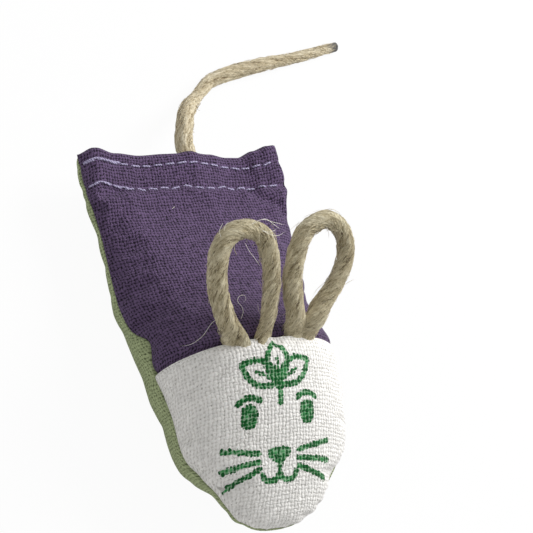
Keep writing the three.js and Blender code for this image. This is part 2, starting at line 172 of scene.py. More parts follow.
# Where the belly bulges up over the left side seam just behind the face: its place, how far it
# shifts the seam, how far that reaches, and how far the cloth swells under it
NOTCH_Y = -0.9 * MM
NOTCH_SHIFT = Vector((1.2, 0, 2.6)) * MM
NOTCH_AHEAD = 3.8 * MM
NOTCH_BEHIND = 2.4 * MM
NOTCH_REACH = 4 * MM
NOTCH_SWELL = 1.3 * MM
NOTCH_SWELL_DEPTH = 2 * MM

# How far the belly stands out on the left, from the nose to the hem, and how far under its seam
FLANK_BULGE = [
    (-48, -0.2), (-42, 0), (-34, 0.5), (-27, 0.4), (-20, 0.5), (-13, 1.4), (-4, 1.2), (4, 0.8),
    (10, 1.4), (17, 1.0), (24, 0.9), (30, 0.9), (36, 1.4), (41, 2.5), (44.5, 2.2), (47.5, 0.2),
]
FLANK_DEPTH = 6 * MM

# How far the right side stands out, or in where below zero, by the seam's place. It builds up from
# the middle outwards.
CHEEK_SWELL = [
    (-47, 0), (-42, 0.4), (-34, 0.9), (-20, 1.0), (-10, 1.2), (-6, 0.8), (0, -0.3), (6, -0.6), (14, 0),
]
CHEEK_REACH = 20 * MM

# How far the left side is drawn in beside the nose, by the seam's place, and how far from the seam
NOSE_DENT = [(-46, 0), (-41.5, 1.1), (-38, 1.2), (-34, 0.35), (-31, 0)]
NOSE_DENT_REACH = 10 * MM

# Soft dents and swellings of the back and the face: place, half lengths along and across, turn
# and height. Past three half lengths nothing is left of them.
DENTS = [
    (20.5, 33, 7, 1.8, 62, -0.55),
    (14.5, 34, 6, 1.6, 75, 0.35),
    (24, 27, 8, 1.6, 80, -0.4),
    (-21, 34, 7, 1.5, 105, -0.5),
    (-17.5, 35, 6, 1.4, 100, 0.3),
    (-24, 22, 7, 1.5, 97, -0.4),
    (-20.5, 8, 8, 1.9, 70, -0.45),
    (-14, -1, 8, 2.2, 45, -0.4),
    (4, 36, 2, 11, 0, 0.25),
    (-19, -33, 2.2, 3.5, 30, -0.8),
    (17, -36, 2, 3.5, -30, -0.7),
]
DENT_END = 3

# Lumps of the loose filling: their size and height, and how they fade towards the flat hem
LUMPS = ((13 * MM, 0.45), (5 * MM, 0.13))
LUMPS_FADE = 24 * MM
LUMPS_AT_HEM = 0.25

# How softly the belly's cloth turns where it meets the floor
FLOOR_SOFTNESS = 0.35 * MM

# The rope and how finely it and its fibres are divided
ROPE_RADIUS = 2.25 * MM
ROPE_STEP = 0.36 * MM
ROPE_SIDES = 52
FIBRE_SIDES = 3
FIBRE_RINGS = 7
FIBRE_SIDE = Vector((0.31, 0.87, 0.38))
FIBRE_TAPER = 4
FINE_STEPS = 24

# Unevenness of the rope: how fast it changes across and along the rope, and how high it stands
ROPE_LUMPS = (0.45, 0.2, 0.16)
ROPE_BUNDLES = (1.3, 0.22, 0.1)
ROPE_FIBRES = (3.2, 0.55, 0.08)
ROPE_SWELL = 1.02
LOBE_POWER = 0.7
# How deep the rope's surface sinks where the painted shade of a valley is full
VALLEY_DEPTH = 0.14

# How firmly the strands are twisted: the least, how much more at most, and how long a stretch runs
FIRM_LEAST = 0.7
FIRM_MORE = 1.2
FIRM_RUN = 8 * MM

# Separate fibres, in millimetres: lengths and lifts of those that lie on the rope and of those that
# stand off it, and the thickness of both
LYING_LENGTHS = (1.2, 4.2)
LYING_LIFTS = (0.02, 0.22)
LYING_SINK = 0.03
LOOSE_LENGTHS = (2.5, 6.5)
LOOSE_LIFTS = (0.5, 1.9)
FIBRE_RADII = (0.035, 0.065)
FIBRE_FLOOR = 0.08

# How a fibre slants against the twist, as shares of it and as a spread in radians, where along it
# its points lie, and where in the jute's pattern its tone comes from
FIBRE_SLANTS = (-0.2, 1.7)
FIBRE_SPREAD = 0.8
FIBRE_SHARES = (0, 0.25, 0.5, 0.75, 1)
FIBRE_TONES = (0, 60)

# The ear loops, in millimetres: across and along the loop from its hinge. They lean back. Each foot
# is set back and down a little, and its root goes forwards and down under the face's edge, where
# the seam presses the rope flat. The girths go by the share of the loop's length.
EAR_LEAN = math.radians(30)
EAR_ROUTES = {
    "ear_left": [
        (-3.3, 0), (-5.8, 4.6), (-7.6, 8.8), (-8.5, 12.4), (-8.8, 15.8), (-8.0, 21.0), (-5.4, 24.1),
        (-1.0, 24.9), (3.1, 23.0), (4.6, 19.4), (5.6, 15.2), (5.8, 10.2), (5.4, 4.9), (5.3, 0),
    ],
    "ear_right": [
        (-0.7, 0), (-1.2, 3.6), (-2.1, 7.8), (-2.8, 13.1), (-2.5, 17.0), (-1.6, 20.2),
        (-0.3, 23.3), (2.8, 25.7), (6.0, 26.3), (9.3, 24.5), (11.3, 20.8), (11.3, 17.1),
        (10.3, 13.8), (8.1, 9.9), (5.9, 6.9), (4.2, 3.7), (3.3, 0),
    ],
}
EAR_FOOT_BACK = 1.5 * MM
EAR_FOOT_SINK = 0.6 * MM
EAR_ROOT = Vector((0, -3.2, -2.8)) * MM
EAR_ROOT_LEAN = 1.2
EAR_PRESSED = 0.3
EAR_PRESSED_FROM = 3 * MM
EAR_PRESSED_LENGTH = 7 * MM
EAR_GIRTHS = {
    "ear_left": [
        (0, 1.0), (0.2, 0.98), (0.45, 0.98), (0.6, 0.93), (0.75, 0.88), (0.86, 0.78), (1, 1.08),
    ],
    "ear_right": [
        (0, 0.86), (0.12, 0.92), (0.2, 0.97), (0.35, 0.92), (0.68, 0.86), (0.78, 0.9), (0.87, 1.02),
        (1, 0.88),
    ],
}

# The tail, in millimetres: across and behind its hinge, and how much of the hem's height is left.
# Its thickness goes by the share of its way, and the hem presses its first stretch flat.
TAIL_ROUTE = [
    (0, 0, 1), (0.5, 1.6, 0.98), (1.9, 4.8, 0.9), (3.9, 8.4, 0.72), (6.6, 11.6, 0.5),
    (10.1, 14.5, 0.3), (13.9, 17.8, 0.13), (17.6, 20.7, 0.03), (22.4, 22.5, 0),
    (28.9, 24.2, 0), (36, 25.8, 0), (42.8, 27.2, 0), (50.1, 28.8, 0), (59.6, 31.2, 0),
]
TAIL_TAPER_SHARES = [
    (0, 0.96), (0.2, 0.9), (0.33, 0.66), (0.43, 0.74), (0.52, 0.84), (0.62, 0.79), (0.8, 0.6),
    (0.92, 0.55), (1, 0.52),
]
TAIL_INSIDE = Vector((0, 7, 0)) * MM
TAIL_FLAT_FROM = 1.5 * MM
TAIL_FLAT_LENGTH = 4 * MM
TAIL_THINNED = 0.33
TAIL_WIDENED = 0.14
TAIL_ROUNDING = 0.6 * MM
# How long the tail's grey tip is, and over how far its grey fades in
GREY_TIP_LENGTH = 3.6 * MM
GREY_TIP_FADE = 1.6 * MM
TAIL_SEED = 3
TAIL_LOOSE_SHARE = 0.015

# The camera, fitted to the photograph, which is 533 pixels square
CAMERA_AZIMUTH = math.radians(-64.4)
CAMERA_ELEVATION = math.radians(54.9)
CAMERA_ROLL = math.radians(55.7)
CAMERA_DISTANCE = 543.86 * MM
CAMERA_FOCAL_PX = 2301.5
CAMERA_CENTRE = Vector((0, 0, 12)) * MM
CENTRE_OFFSET_PX = (43, 72)
PHOTO_PX = 533
SENSOR_WIDTH = 36


def srgb(red, green, blue):
    """A colour as it is seen, from 0 to 255, as the linear colour that Blender works with."""
    shares = [channel / 255 for channel in (red, green, blue)]
    return [s / 12.92 if s <= 0.04045 else ((s + 0.055) / 1.055) ** 2.4 for s in shares]


def smooth(value):
    """0 below 0, 1 above 1 and an even rise between."""
    value = min(max(value, 0), 1)
    return value * value * (3 - 2 * value)


def bell(value):
    """1 at 0, and soon nothing on either side."""
    return math.exp(-value * value)


def follow(places, at):
    """A smooth value between listed places."""
    if at <= places[0][0]:
        return places[0][1]
    for (low, before), (high, after) in zip(places, places[1:]):
        if at <= high:
            return before + (after - before) * smooth((at - low) / (high - low))
    return places[-1][1]


def curve_between(t, first, first_slope, last, last_slope):
    """A smooth curve between two values, each with its slope over the whole stretch."""
    return (
        first * (2 * t**3 - 3 * t**2 + 1)
        + first_slope * (t**3 - 2 * t**2 + t)
        + last * (3 * t**2 - 2 * t**3)
        + last_slope * (t**3 - t**2)
    )


def profile(share, column):
    """One column of the body's profile, smooth through its rows."""
    rows = PROFILE_SHARES
    low = 0
    while low < len(rows) - 2 and share > rows[low + 1][ALONG]:
        low += 1

    def slope(row):
        before = rows[max(row - 1, 0)]
        after = rows[min(row + 1, len(rows) - 1)]
        return (after[column] - before[column]) / (after[ALONG] - before[ALONG])

    near, far = rows[low], rows[low + 1]
    span = far[ALONG] - near[ALONG]
    t = (share - near[ALONG]) / span
    return curve_between(t, near[column], span * slope(low), far[column], span * slope(low + 1))


def share_of(place):
    """Share of the body's length. A place is 0 at the nose, 1 at the face seam and 2 at the hem."""
    if place < 1:
        return FACE_SHARE * place**NOSE_CROWDING
    return FACE_SHARE + (1 - FACE_SHARE) * (place - 1)


def place_of(y):
    """Place on the body at a y that lies behind the face seam."""
    return 1 + (y - FACE_SEAM_Y) / (HEM_Y - FACE_SEAM_Y)


def arc_end(distance, radius):
    """How far a round edge has risen at a distance from its end, from 0 to 1."""
    left = 1 - min(max(distance / radius, 0), 1)
    return math.sqrt(1 - left * left)


def hem_wave(point):
    """Shift of a point near the rear hem."""
    fade = follow(HEM_WAVE_FADE, (HEM_Y - point.y) / MM)
    reach = follow(HEM_WAVE, point.x / MM) * fade * MM
    drawn_in = follow(HEM_DRAWN_IN, (HEM_Y - point.y) / MM) * MM
    drawn_in *= smooth((point.x / MM - HEM_DRAWN_FROM) / HEM_DRAWN_OVER)
    return Vector((-drawn_in, reach, reach * HEM_WAVE_LIFT))


def row_distance(row, x):
    """How far a row of topstitching lies from the hem's edge, so far across."""
    return ROW_PLACES[row] + follow(ROW_DRIFTS[row], x / MM) * MM


def seam_point(share, sign):
    """A point of the left (sign -1) or right (sign 1) side seam."""
    half = HALF_HEM * profile(share, WIDE)
    return Vector((sign * half, NOSE_Y + share * LENGTH, FULL_SEAM_Z * profile(share, SEAM_RISE)))


def stuffed_rise(side, share, x, curve, hemness):
    """How far the stuffed cloth stands over its side seam, or hangs under it, at a point across."""
    full = CROWN_HEIGHT if side > 0 else BELLY_DEPTH
    part = max(profile(share, CROWN if side > 0 else DEEP), 0)
    top = HEM_HALF + (full - HEM_HALF) * part
    from_hem = (1 - share) * LENGTH
    loose = bell((x - TAIL_X) / BULGE_HALF_WIDTH)
    close = bell(((x - TAIL_X) / MOUTH_HALF_WIDTH) ** 2)
    mouth = MOUTH_OPEN * close * hemness
    end = arc_end(share * LENGTH, NOSE_ROUND) * max(arc_end(from_hem, HEM_ROUND), mouth)
    hugging = 1 - smooth(from_hem / MOUTH_DEPTH)
    bulge = HEM_BULGE * hemness * (loose + (close - loose) * hugging)
    return SEAM_GAP / 2 + (top - SEAM_GAP / 2) * curve * end + bulge * curve


def sewn_point(side, place, across, groove):
    """A point of the upper (side 1) or lower (side -1) cloth, as it is sewn and stuffed."""
    share = share_of(place)
    from_seam = 0.0
    if side > 0:
        fade = smooth(place) if place < 1 else 1 - smooth((place - 1) / SEAM_BOW_FADE)
        share = max(share - SEAM_BOW / LENGTH * abs(across) ** SEAM_BOW_POWER * fade, 0)
        from_seam = (share_of(place) - FACE_SHARE) * LENGTH
    seam = seam_point(share, 1 if across > 0 else -1)
    half = abs(seam.x)
    x = half * math.sin(across * PI / 2)
    power = profile(share, SQUARE)
    curve = (1 - min(abs(x) / half, 1) ** power) ** (1 / power)
    hemness = smooth((share - BULGE_START_SHARE) / (BULGE_FULL_SHARE - BULGE_START_SHARE))
    rise = stuffed_rise(side, share, x, curve, hemness)
    point = Vector((x, seam.y, seam.z + side * rise))

    near = 1 - smooth(math.hypot(half - abs(x), rise) / GROOVE_WIDTH)
    point.x -= math.copysign(groove * near * (1 - hemness), x)
    if side < 0 and hemness > 0:
        point.x -= math.copysign(LOWER_TUCK * hemness * (abs(x) / half) ** LOWER_TUCK_POWER, x)
        point.y -= LOWER_TUCK * smooth(1 - (1 - share) * LENGTH / HEM_ROUND)
    if share * LENGTH < 2 * GROOVE_WIDTH:
        point.y += groove * (1 - smooth(math.hypot(share * LENGTH, rise) / GROOVE_WIDTH))

    outward = Vector((x / half, 0, side * max(curve, FLATTEST_RISE))).normalized()
    if side > 0 and place < 1:
        lip = FOLD_LIP + FOLD_LIFT * bell((x / FOLD_LIFT_HALF_WIDTH) ** 2)
        lip *= bell(from_seam / FOLD_WIDTH)
        lip -= FOLD_LIP / 2 * (1 - arc_end(-from_seam, FOLD_ROUND))
        point += outward * lip
    elif side > 0:
        point -= outward * FOLD_DIP * bell(from_seam / (2 * FOLD_ROUND))
    if hemness > 0:
        for row in (0, 1):
            offset = ((1 - share) * LENGTH - row_distance(row, x)) / ROW_DIP_WIDTH
            point -= outward * ROW_DIP * bell(offset)
    return point, seam, outward


def settled(point, seam, outward, side):
    """The point where the cloth comes to lie: waves, bulges, dents and small unevenness."""
    moved = point + hem_wave(point)
    if point.x < 0:
        along = seam.y - NOTCH_Y
        width = NOTCH_BEHIND if along > 0 else NOTCH_AHEAD
        distance = (point - seam).length
        moved += NOTCH_SHIFT * bell(along / width) * bell(distance / NOTCH_REACH)
        moved.x += follow(NOSE_DENT, seam.y / MM) * bell(distance / NOSE_DENT_REACH) * MM
        if side < 0:
            under = distance / NOTCH_SWELL_DEPTH
            moved.x -= NOTCH_SWELL * bell(along / width) * under * math.exp((1 - under**2) / 2)
            under = distance / FLANK_DEPTH
            bulge = follow(FLANK_BULGE, seam.y / MM) * MM
            moved.x -= bulge * under * math.exp((1 - under**2) / 2)
    else:
        moved.x += follow(CHEEK_SWELL, seam.y / MM) * smooth(point.x / CHEEK_REACH) * MM
    if side > 0:
        for x, y, length, width, turn, height in DENTS:
            cos = math.cos(math.radians(turn))
            sin = math.sin(math.radians(turn))
            dx = point.x / MM - x
            dy = point.y / MM - y
            down = (dx * cos + dy * sin) / length
            over = (dy * cos - dx * sin) / width
            if abs(down) < DENT_END and abs(over) < DENT_END:
                moved += outward * height * MM * bell(down) * bell(over)
    free = smooth((HEM_Y - point.y) / LUMPS_FADE)
    lumps = sum(noise.noise(point / size) * height for size, height in LUMPS)
    moved += outward * lumps * MM * (LUMPS_AT_HEM + (1 - LUMPS_AT_HEM) * free)
    if side < 0:
        moved.z = (moved.z + math.sqrt(moved.z**2 + FLOOR_SOFTNESS**2)) / 2
    return moved


class Pouch:
    """The stuffed body's cloth, as a surface that every sewn piece can ask for its place."""

    COLUMNS = 44
    ROWS = 76

    def __init__(self, groove):
        self.groove = groove
        self.puff = {1: None, -1: None}

    def rest(self, side, place, across):
        """A point before the filling puffs the cloth up. Across goes from -1 to 1."""
        point, seam, outward = sewn_point(side, place, across, self.groove)
        return settled(point, seam, outward, side)

    def puffed(self, side, place, across):
        """Shift of the simulated cloth at one place, smooth between its points."""
        grid = self.puff[side]
        if grid is None:
            return Vector((0, 0, 0))
        row = min(max(place / 2 * self.ROWS, 0), self.ROWS - 1e-6)
        column = min(max((across + 1) / 2 * self.COLUMNS, 0), self.COLUMNS - 1e-6)
        total = Vector((0, 0, 0))
        for r, by_row in spline_weights(row, self.ROWS):
            for c, by_column in spline_weights(column, self.COLUMNS):
                total += grid[r][c] * (by_row * by_column)
        return total

    def at(self, side, place, across):
        """A point of the finished cloth. The belly's are never under the floor."""
        point = self.rest(side, place, across) + self.puffed(side, place, across)
        if side < 0:
            point.z = max(point.z, 0)
        return point

    def stitched(self, side, from_edge, x):
        """Place and outward direction on the hem, so far from its edge and so far across."""
        place = place_of(HEM_Y - from_edge)
        half = seam_point(1 - from_edge / LENGTH, 1).x
        across = math.asin(max(min(x / half, 1), -1)) * 2 / PI
        here = self.at(side, place, across)
        step = 0.01
        over = self.at(side, place, min(across + step, 1)) - self.at(side, place, max(across - step, -1))
        ahead = self.at(side, place + step, across) - self.at(side, place - step, across)
        return here, over.cross(ahead).normalized() * side


def spline_weights(at, last):
    """Catmull-Rom weights of the four grid points around a place."""
    low = int(at)
    t = at - low
    weights = (
        -0.5 * t + t**2 - 0.5 * t**3,
        1 - 2.5 * t**2 + 1.5 * t**3,
        0.5 * t + 2 * t**2 - 1.5 * t**3,
        -0.5 * t**2 + 0.5 * t**3,
    )
    return [(min(max(low + k - 1, 0), last), weight) for k, weight in enumerate(weights)]


def link(name, bm, material):
    """A finished bmesh as a smooth object with one material."""
    for face in bm.faces:
        face.smooth = True
    mesh = bpy.data.meshes.new(name)
    bm.to_mesh(mesh)
    bm.free()
    mesh.materials.append(material)
    piece = bpy.data.objects.new(name, mesh)
    bpy.context.scene.collection.objects.link(piece)
    return piece


def grid_rows(bm, across, along):
    """A flat grid's vertices in rows, from the near left corner."""
    made = bmesh.ops.create_grid(bm, x_segments=across, y_segments=along, size=1)
    rows = [[None] * (across + 1) for _ in range(along + 1)]
    for vert in made["verts"]:
        column = round((vert.co.x + 1) / 2 * across)
        row = round((vert.co.y + 1) / 2 * along)
        rows[row][column] = vert
    return rows


# Cloth simulation. It runs on a body twenty times as large, which suits its settings.

SIM_SCALE = 20
SIM_FRAMES = 20
CLOTH_SETTINGS = {
    "quality": 6,
    "mass": 0.3,
    "tension_stiffness": 20,
    "compression_stiffness": 12,
    "shear_stiffness": 6,
    "bending_stiffness": 5,
    "air_damping": 3,
    "vertex_group_mass": "sewn",
    "pin_stiffness": 1,
    "use_pressure": True,
}

# How far a point may move, the shares of its swell and of the belly's puckers that are kept, and
# the grid points to each side over which the swell is averaged
PUFF_CAP = 1.6 * MM
SWELL_KEPT = 0.15
LOWER_PUCKERS = 0.35
SWELL_REACH = 4


def puckers(grid, kept):
    """Takes most of the broad swell out of the puffed cloth, as the body is drawn stuffed already."""
    shifts = numpy.array(grid)
    swell = shifts.copy()
    for axis in (0, 1):
        count = swell.shape[axis]
        steps = range(-SWELL_REACH, SWELL_REACH + 1)
        near = [numpy.clip(numpy.arange(count) + step, 0, count - 1) for step in steps]
        swell = sum(numpy.take(swell, places, axis) for places in near) / len(near)
    left = (shifts - swell) * kept + swell * SWELL_KEPT
    return [[Vector(shift) for shift in row] for row in left.tolist()]


def simulate(pouch, side, slack, pressure):
    """Blows up one side's cloth between its seams, and keeps how far each point moved."""
    bm = bmesh.new()
    rows = grid_rows(bm, pouch.COLUMNS, pouch.ROWS)
    seam_row = pouch.ROWS // 2
    hem_row = round(place_of(HEM_Y - ROW_PLACES[1]) / 2 * pouch.ROWS)
    rest = []
    held = []
    for r, row in enumerate(rows):
        rest.append([])
        for c, vert in enumerate(row):
            point = pouch.rest(side, 2 * r / pouch.ROWS, 2 * c / pouch.COLUMNS - 1)
            vert.co = point * SIM_SCALE
            rest[-1].append(point)
            edge = c in (0, pouch.COLUMNS) or r == 0 or r >= hem_row
            if edge or (side > 0 and r == seam_row):
                held.append((r, c))
    bm.verts.index_update()
    places = [[vert.index for vert in row] for row in rows]
    if side < 0:
        bmesh.ops.reverse_faces(bm, faces=bm.faces[:])
    cloth = link("puffing_cloth", bm, None)
    group = cloth.vertex_groups.new(name="sewn")
    group.add([places[r][c] for r, c in held], 1, "REPLACE")
    modifier = cloth.modifiers.new("Cloth", "CLOTH")
    settings = modifier.settings
    for name, value in CLOTH_SETTINGS.items():
        setattr(settings, name, value)
    settings.shrink_min = -slack
    settings.uniform_pressure_force = pressure
    settings.effector_weights.gravity = 0
    modifier.collision_settings.use_collision = False
    modifier.collision_settings.use_self_collision = False
    scene = bpy.context.scene
    for number in range(1, SIM_FRAMES + 1):
        scene.frame_set(number)
    shown = cloth.evaluated_get(bpy.context.evaluated_depsgraph_get())
    moved = shown.to_mesh()
    grid = []
    for r, row in enumerate(places):
        grid.append([])
        for c, index in enumerate(row):
            shift = Vector(moved.vertices[index].co) / SIM_SCALE - rest[r][c]
            if shift.length > PUFF_CAP:
                shift *= PUFF_CAP / shift.length
            grid[-1].append(shift)
    shown.to_mesh_clear()
    pouch.puff[side] = puckers(grid, 1 if side > 0 else LOWER_PUCKERS)
    mesh = cloth.data
    bpy.data.objects.remove(cloth)
    bpy.data.meshes.remove(mesh)
    scene.frame_set(1)


# Shader building

class Wire:
    """A shader socket. An expression on it adds Math nodes."""

    def __init__(self, finish, socket):
        self.finish = finish
        self.socket = socket

    def math(self, operation, *values):
        return self.finish.node("ShaderNodeMath", {"operation": operation}, dict(enumerate(values)))

    def __add__(self, other):
        return self.math("ADD", self, other)

    def __radd__(self, other):
        return self.math("ADD", other, self)

    def __sub__(self, other):
        return self.math("SUBTRACT", self, other)

    def __rsub__(self, other):
        return self.math("SUBTRACT", other, self)

    def __mul__(self, other):
        return self.math("MULTIPLY", self, other)

    def __rmul__(self, other):
        return self.math("MULTIPLY", other, self)

    def __truediv__(self, other):
        return self.math("DIVIDE", self, other)

    def floor(self):
        return self.math("FLOOR", self)

    def cos(self):
        return self.math("COSINE", self)

    def top(self, other):
        return self.math("MAXIMUM", self, other)

    def clamp(self):
        return self.math("MINIMUM", self.math("MAXIMUM", self, 0), 1)

    def rise(self, low, high):
        """0 below low, 1 above high and an even rise between."""
        return self.finish.node(
            "ShaderNodeMapRange",
            {"interpolation_type": "SMOOTHSTEP"},
            {"Value": self, "From Min": low, "From Max": high},
        )


class Finish:
    """A material while its nodes are put together."""

    SPECULAR = 0.25
    SHEEN_ROUGHNESS = 0.5

    def __init__(self, name, roughness, sheen=0.0):
        self.material = bpy.data.materials.new(name)
        self.material.use_nodes = True
        self.tree = self.material.node_tree
        self.shader = self.tree.nodes["Principled BSDF"]
        self.shader.inputs["Roughness"].default_value = roughness
        self.shader.inputs["Specular IOR Level"].default_value = self.SPECULAR
        self.shader.inputs["Sheen Weight"].default_value = sheen
        self.shader.inputs["Sheen Roughness"].default_value = self.SHEEN_ROUGHNESS

    def feed(self, socket, value):
        """Links a wire to a socket, or sets a number, a vector or a colour on it."""
        if isinstance(value, Wire):
            self.tree.links.new(value.socket, socket)
        elif hasattr(socket.default_value, "__len__"):
            filled = list(value) if hasattr(value, "__len__") else [value] * len(socket.default_value)
            if len(socket.default_value) == 4 and len(filled) == 3:
                filled.append(1)
            socket.default_value = filled
        else:
            socket.default_value = value

    def node(self, kind, settings=None, sockets=None, out=0):
        """A node from its type, its settings and what its sockets get, as one of its outputs."""
        made = self.tree.nodes.new(kind)
        for key, value in (settings or {}).items():
            if key == "stops":
                ramp = made.color_ramp
                while len(ramp.elements) < len(value):
                    ramp.elements.new(0.5)
                for element, (position, colour) in zip(ramp.elements, value):
                    element.position = position
                    element.color = (*colour, 1)
            else:
                setattr(made, key, value)
        for name, value in (sockets or {}).items():
            self.feed(made.inputs[name], value)
        return Wire(self, made.outputs[out])

    def noise(self, vector, scale, detail=2, rough=0.5, out=0):
        return self.node(
            "ShaderNodeTexNoise",
            {"noise_dimensions": "3D"},
            {"Vector": vector, "Scale": scale, "Detail": detail, "Roughness": rough},
            out,
        )

    def parts(self, vector):
        """The three numbers of a vector."""
        split = self.tree.nodes.new("ShaderNodeSeparateXYZ")
        self.tree.links.new(vector.socket, split.inputs[0])
        return [Wire(self, output) for output in split.outputs]

    def vector(self, x, y, z):
        return self.node("ShaderNodeCombineXYZ", {}, {0: x, 1: y, 2: z})

    def scaled(self, vector, factors):
        return self.node("ShaderNodeVectorMath", {"operation": "MULTIPLY"}, {0: vector, 1: factors})

    def mix(self, factor, first, second):
        return self.node(
            "ShaderNodeMix", {"data_type": "RGBA"}, {0: factor, 6: first, 7: second}, out=2
        )

    def ramp(self, factor, stops):
        return self.node("ShaderNodeValToRGB", {"stops": stops}, {0: factor})

    def attribute(self, name, out=2):
        return self.node("ShaderNodeAttribute", {"attribute_name": name}, out=out)

    def objects(self):
        """Object coordinates in millimetres."""
        place = self.node("ShaderNodeTexCoord", out=3)
        return self.scaled(place, (1 / MM, 1 / MM, 1 / MM))

    def bump(self, height, depth):
        bumped = self.node("ShaderNodeBump", {}, {"Strength": 1, "Distance": depth, "Height": height})
        self.tree.links.new(bumped.socket, self.shader.inputs["Normal"])

    def colour(self, wire):
        self.tree.links.new(wire.socket, self.shader.inputs["Base Color"])


# The weave, on the cloth as it was cut, in millimetres: how its yarns wander and shake (how fast,
# and how far), how high a yarn lies and how much it goes over and under, and its thick and thin
# places (the least thickness, how much more, and how fast it changes along the yarn)
WANDER = (0.2, 1.2)
SHAKE = (0.9, 0.9)
YARN_HEIGHT = 0.6
YARN_SWING = 0.4
SLUB_LEAST = 0.45
SLUB_MORE = 1.1
SLUB_RUN = 0.22
CANVAS_ROUGHNESS = 0.95
CANVAS_SHEEN = 0.05
CANVAS_RELIEF = 0.3 * MM

# How crisp and uneven each panel's yarns look, and how much the face's lengthwise yarns stand out
BACK_CRISP = 0.6
BELLY_CRISP = 0.3
FACE_CRISP = 0.35
FACE_RIBS = 0.06


def weave(finish, cut, pitch, ribs, uneven):
    """Plain weave of two uneven yarns: its height, and the yarns' own tone."""
    wander = finish.parts(finish.noise(cut, WANDER[0], 2, out=1))
    shake = finish.parts(finish.noise(cut, SHAKE[0], 2, out=1))
    a, b = [
        (place + (wander[axis] - 0.5) * WANDER[1] + (shake[axis] - 0.5) * SHAKE[1]) / pitch
        for axis, place in enumerate(finish.parts(cut)[:2])
    ]
    warp_number = a.floor()
    weft_number = b.floor()
    warp_slub = finish.noise(finish.vector(warp_number * 3.7, b * SLUB_RUN, 0), 1, 2)
    weft_slub = finish.noise(finish.vector(a * SLUB_RUN, weft_number * 4.1, 9), 1, 2)
    warp_over = ((b + warp_number - 0.5) * PI).cos()
    weft_over = ((a + weft_number - 0.5) * PI).cos()
    warp_round = ((a - warp_number - 0.5) * PI).cos()
    weft_round = ((b - weft_number - 0.5) * PI).cos()
    warp = warp_round * (YARN_HEIGHT + ribs + YARN_SWING * warp_over)
    weft = weft_round * (YARN_HEIGHT - ribs - YARN_SWING * weft_over)
    warp *= SLUB_LEAST + SLUB_MORE * warp_slub
    weft *= SLUB_LEAST + SLUB_MORE * weft_slub
    number = finish.vector(warp_number, weft_number, 0)
    crossing = finish.node("ShaderNodeTexWhiteNoise", {}, {"Vector": number})
    height = warp.top(weft) * (1 + uneven * (0.5 * crossing - 0.25))
    on_top = (warp - weft).rise(-0.05, 0.05)
    tone = 0.5 * (on_top * warp_slub + (1 - on_top) * weft_slub) + 0.5 * crossing
    return height, tone


def canvas_colour(finish, colour, gap_shade, pitch, ribs, crisp):
    """Colour and relief of a coarse canvas, and its height, tone and fibres for a print to follow."""
    cut = finish.node("ShaderNodeUVMap", {"uv_map": "cut"})
    height, tone = weave(finish, cut, pitch, ribs, crisp)
    fibres = finish.noise(cut, 5.5, 4, 0.7)
    broad = finish.noise(cut, 0.09, 3, 0.6)
    specks = finish.noise(cut, 1.3, 1)
    # The gaps between the yarns get painted shade, and some of the lowest gaps are open holes, painted
    # dark with the shade inside them. Crisper cloth has darker gaps and yarns of more tones.
    shaded_holes = specks.rise(0.6, 0.68) * (0.45 - height).rise(0, 0.3)
    depth = (height * 1.25 + (fibres - 0.5) * 0.5 - (specks - 0.5) * 0.9).clamp()
    # Where the yarns sink, the colour goes over to the painted gap shade
    woven = finish.mix(depth.rise(0.3 * crisp, 0.85 + 0.1 * crisp), gap_shade, colour)
    grain = 0.17 + 0.35 * crisp
    yarns = 0.95 - 0.5 * grain + grain * tone
    shade = yarns + 0.12 * broad + 0.18 * (fibres - 0.5) - 0.42 * shaded_holes
    tinted = finish.node(
        "ShaderNodeVectorMath", {"operation": "SCALE"}, {0: woven, "Scale": shade}
    )
    finish.bump(height * 0.8 + fibres * 0.22, CANVAS_RELIEF)
    return tinted, height, tone, fibres


def canvas(name, colour, gap_shade, pitch, crisp):
    """Plain canvas."""
    finish = Finish(name, CANVAS_ROUGHNESS, CANVAS_SHEEN)
    finish.colour(canvas_colour(finish, colour, gap_shade, pitch, 0, crisp)[0])
    return finish.material


def printed_canvas(name, colour, gap_shade, ink, deep_ink, pitch):
    """Canvas with a screen print that takes best on the raised yarns."""
    finish = Finish(name, CANVAS_ROUGHNESS, CANVAS_SHEEN)
    tinted, height, tone, fibres = canvas_colour(
        finish, colour, gap_shade, pitch, FACE_RIBS, FACE_CRISP)
    reach = finish.attribute("ink")
    cut = finish.node("ShaderNodeUVMap", {"uv_map": "cut"})
    patchy = finish.noise(cut, 0.8, 2)
    edge = reach + (height - 0.6) * 0.45 + (tone - 0.5) * 0.5 + (fibres - 0.5) * 0.4
    cover = edge.rise(-0.06, 0.12) * (0.5 + 0.7 * patchy + 0.7 * (height - 0.4)).clamp()
    ink_tone = (height * 0.7 + (tone - 0.5) * 0.8 + (patchy - 0.5) * 0.9).clamp()
    finish.colour(finish.mix(cover, tinted, finish.mix(ink_tone.rise(0.1, 0.6), ink, deep_ink)))
    return finish.material


JUTE_ROUGHNESS = 0.9
JUTE_SHEEN = 0.1

# Depth of the relief of all that isn't canvas
EAR_RELIEF = 0.26 * MM
TAIL_RELIEF = 0.13 * MM
PALE_RELIEF = 0.1 * MM
ROPE_END_RELIEF = 0.3 * MM
THREAD_RELIEF = 0.06 * MM
WADDING_RELIEF = 0.8 * MM
HERB_RELIEF = 0.6 * MM


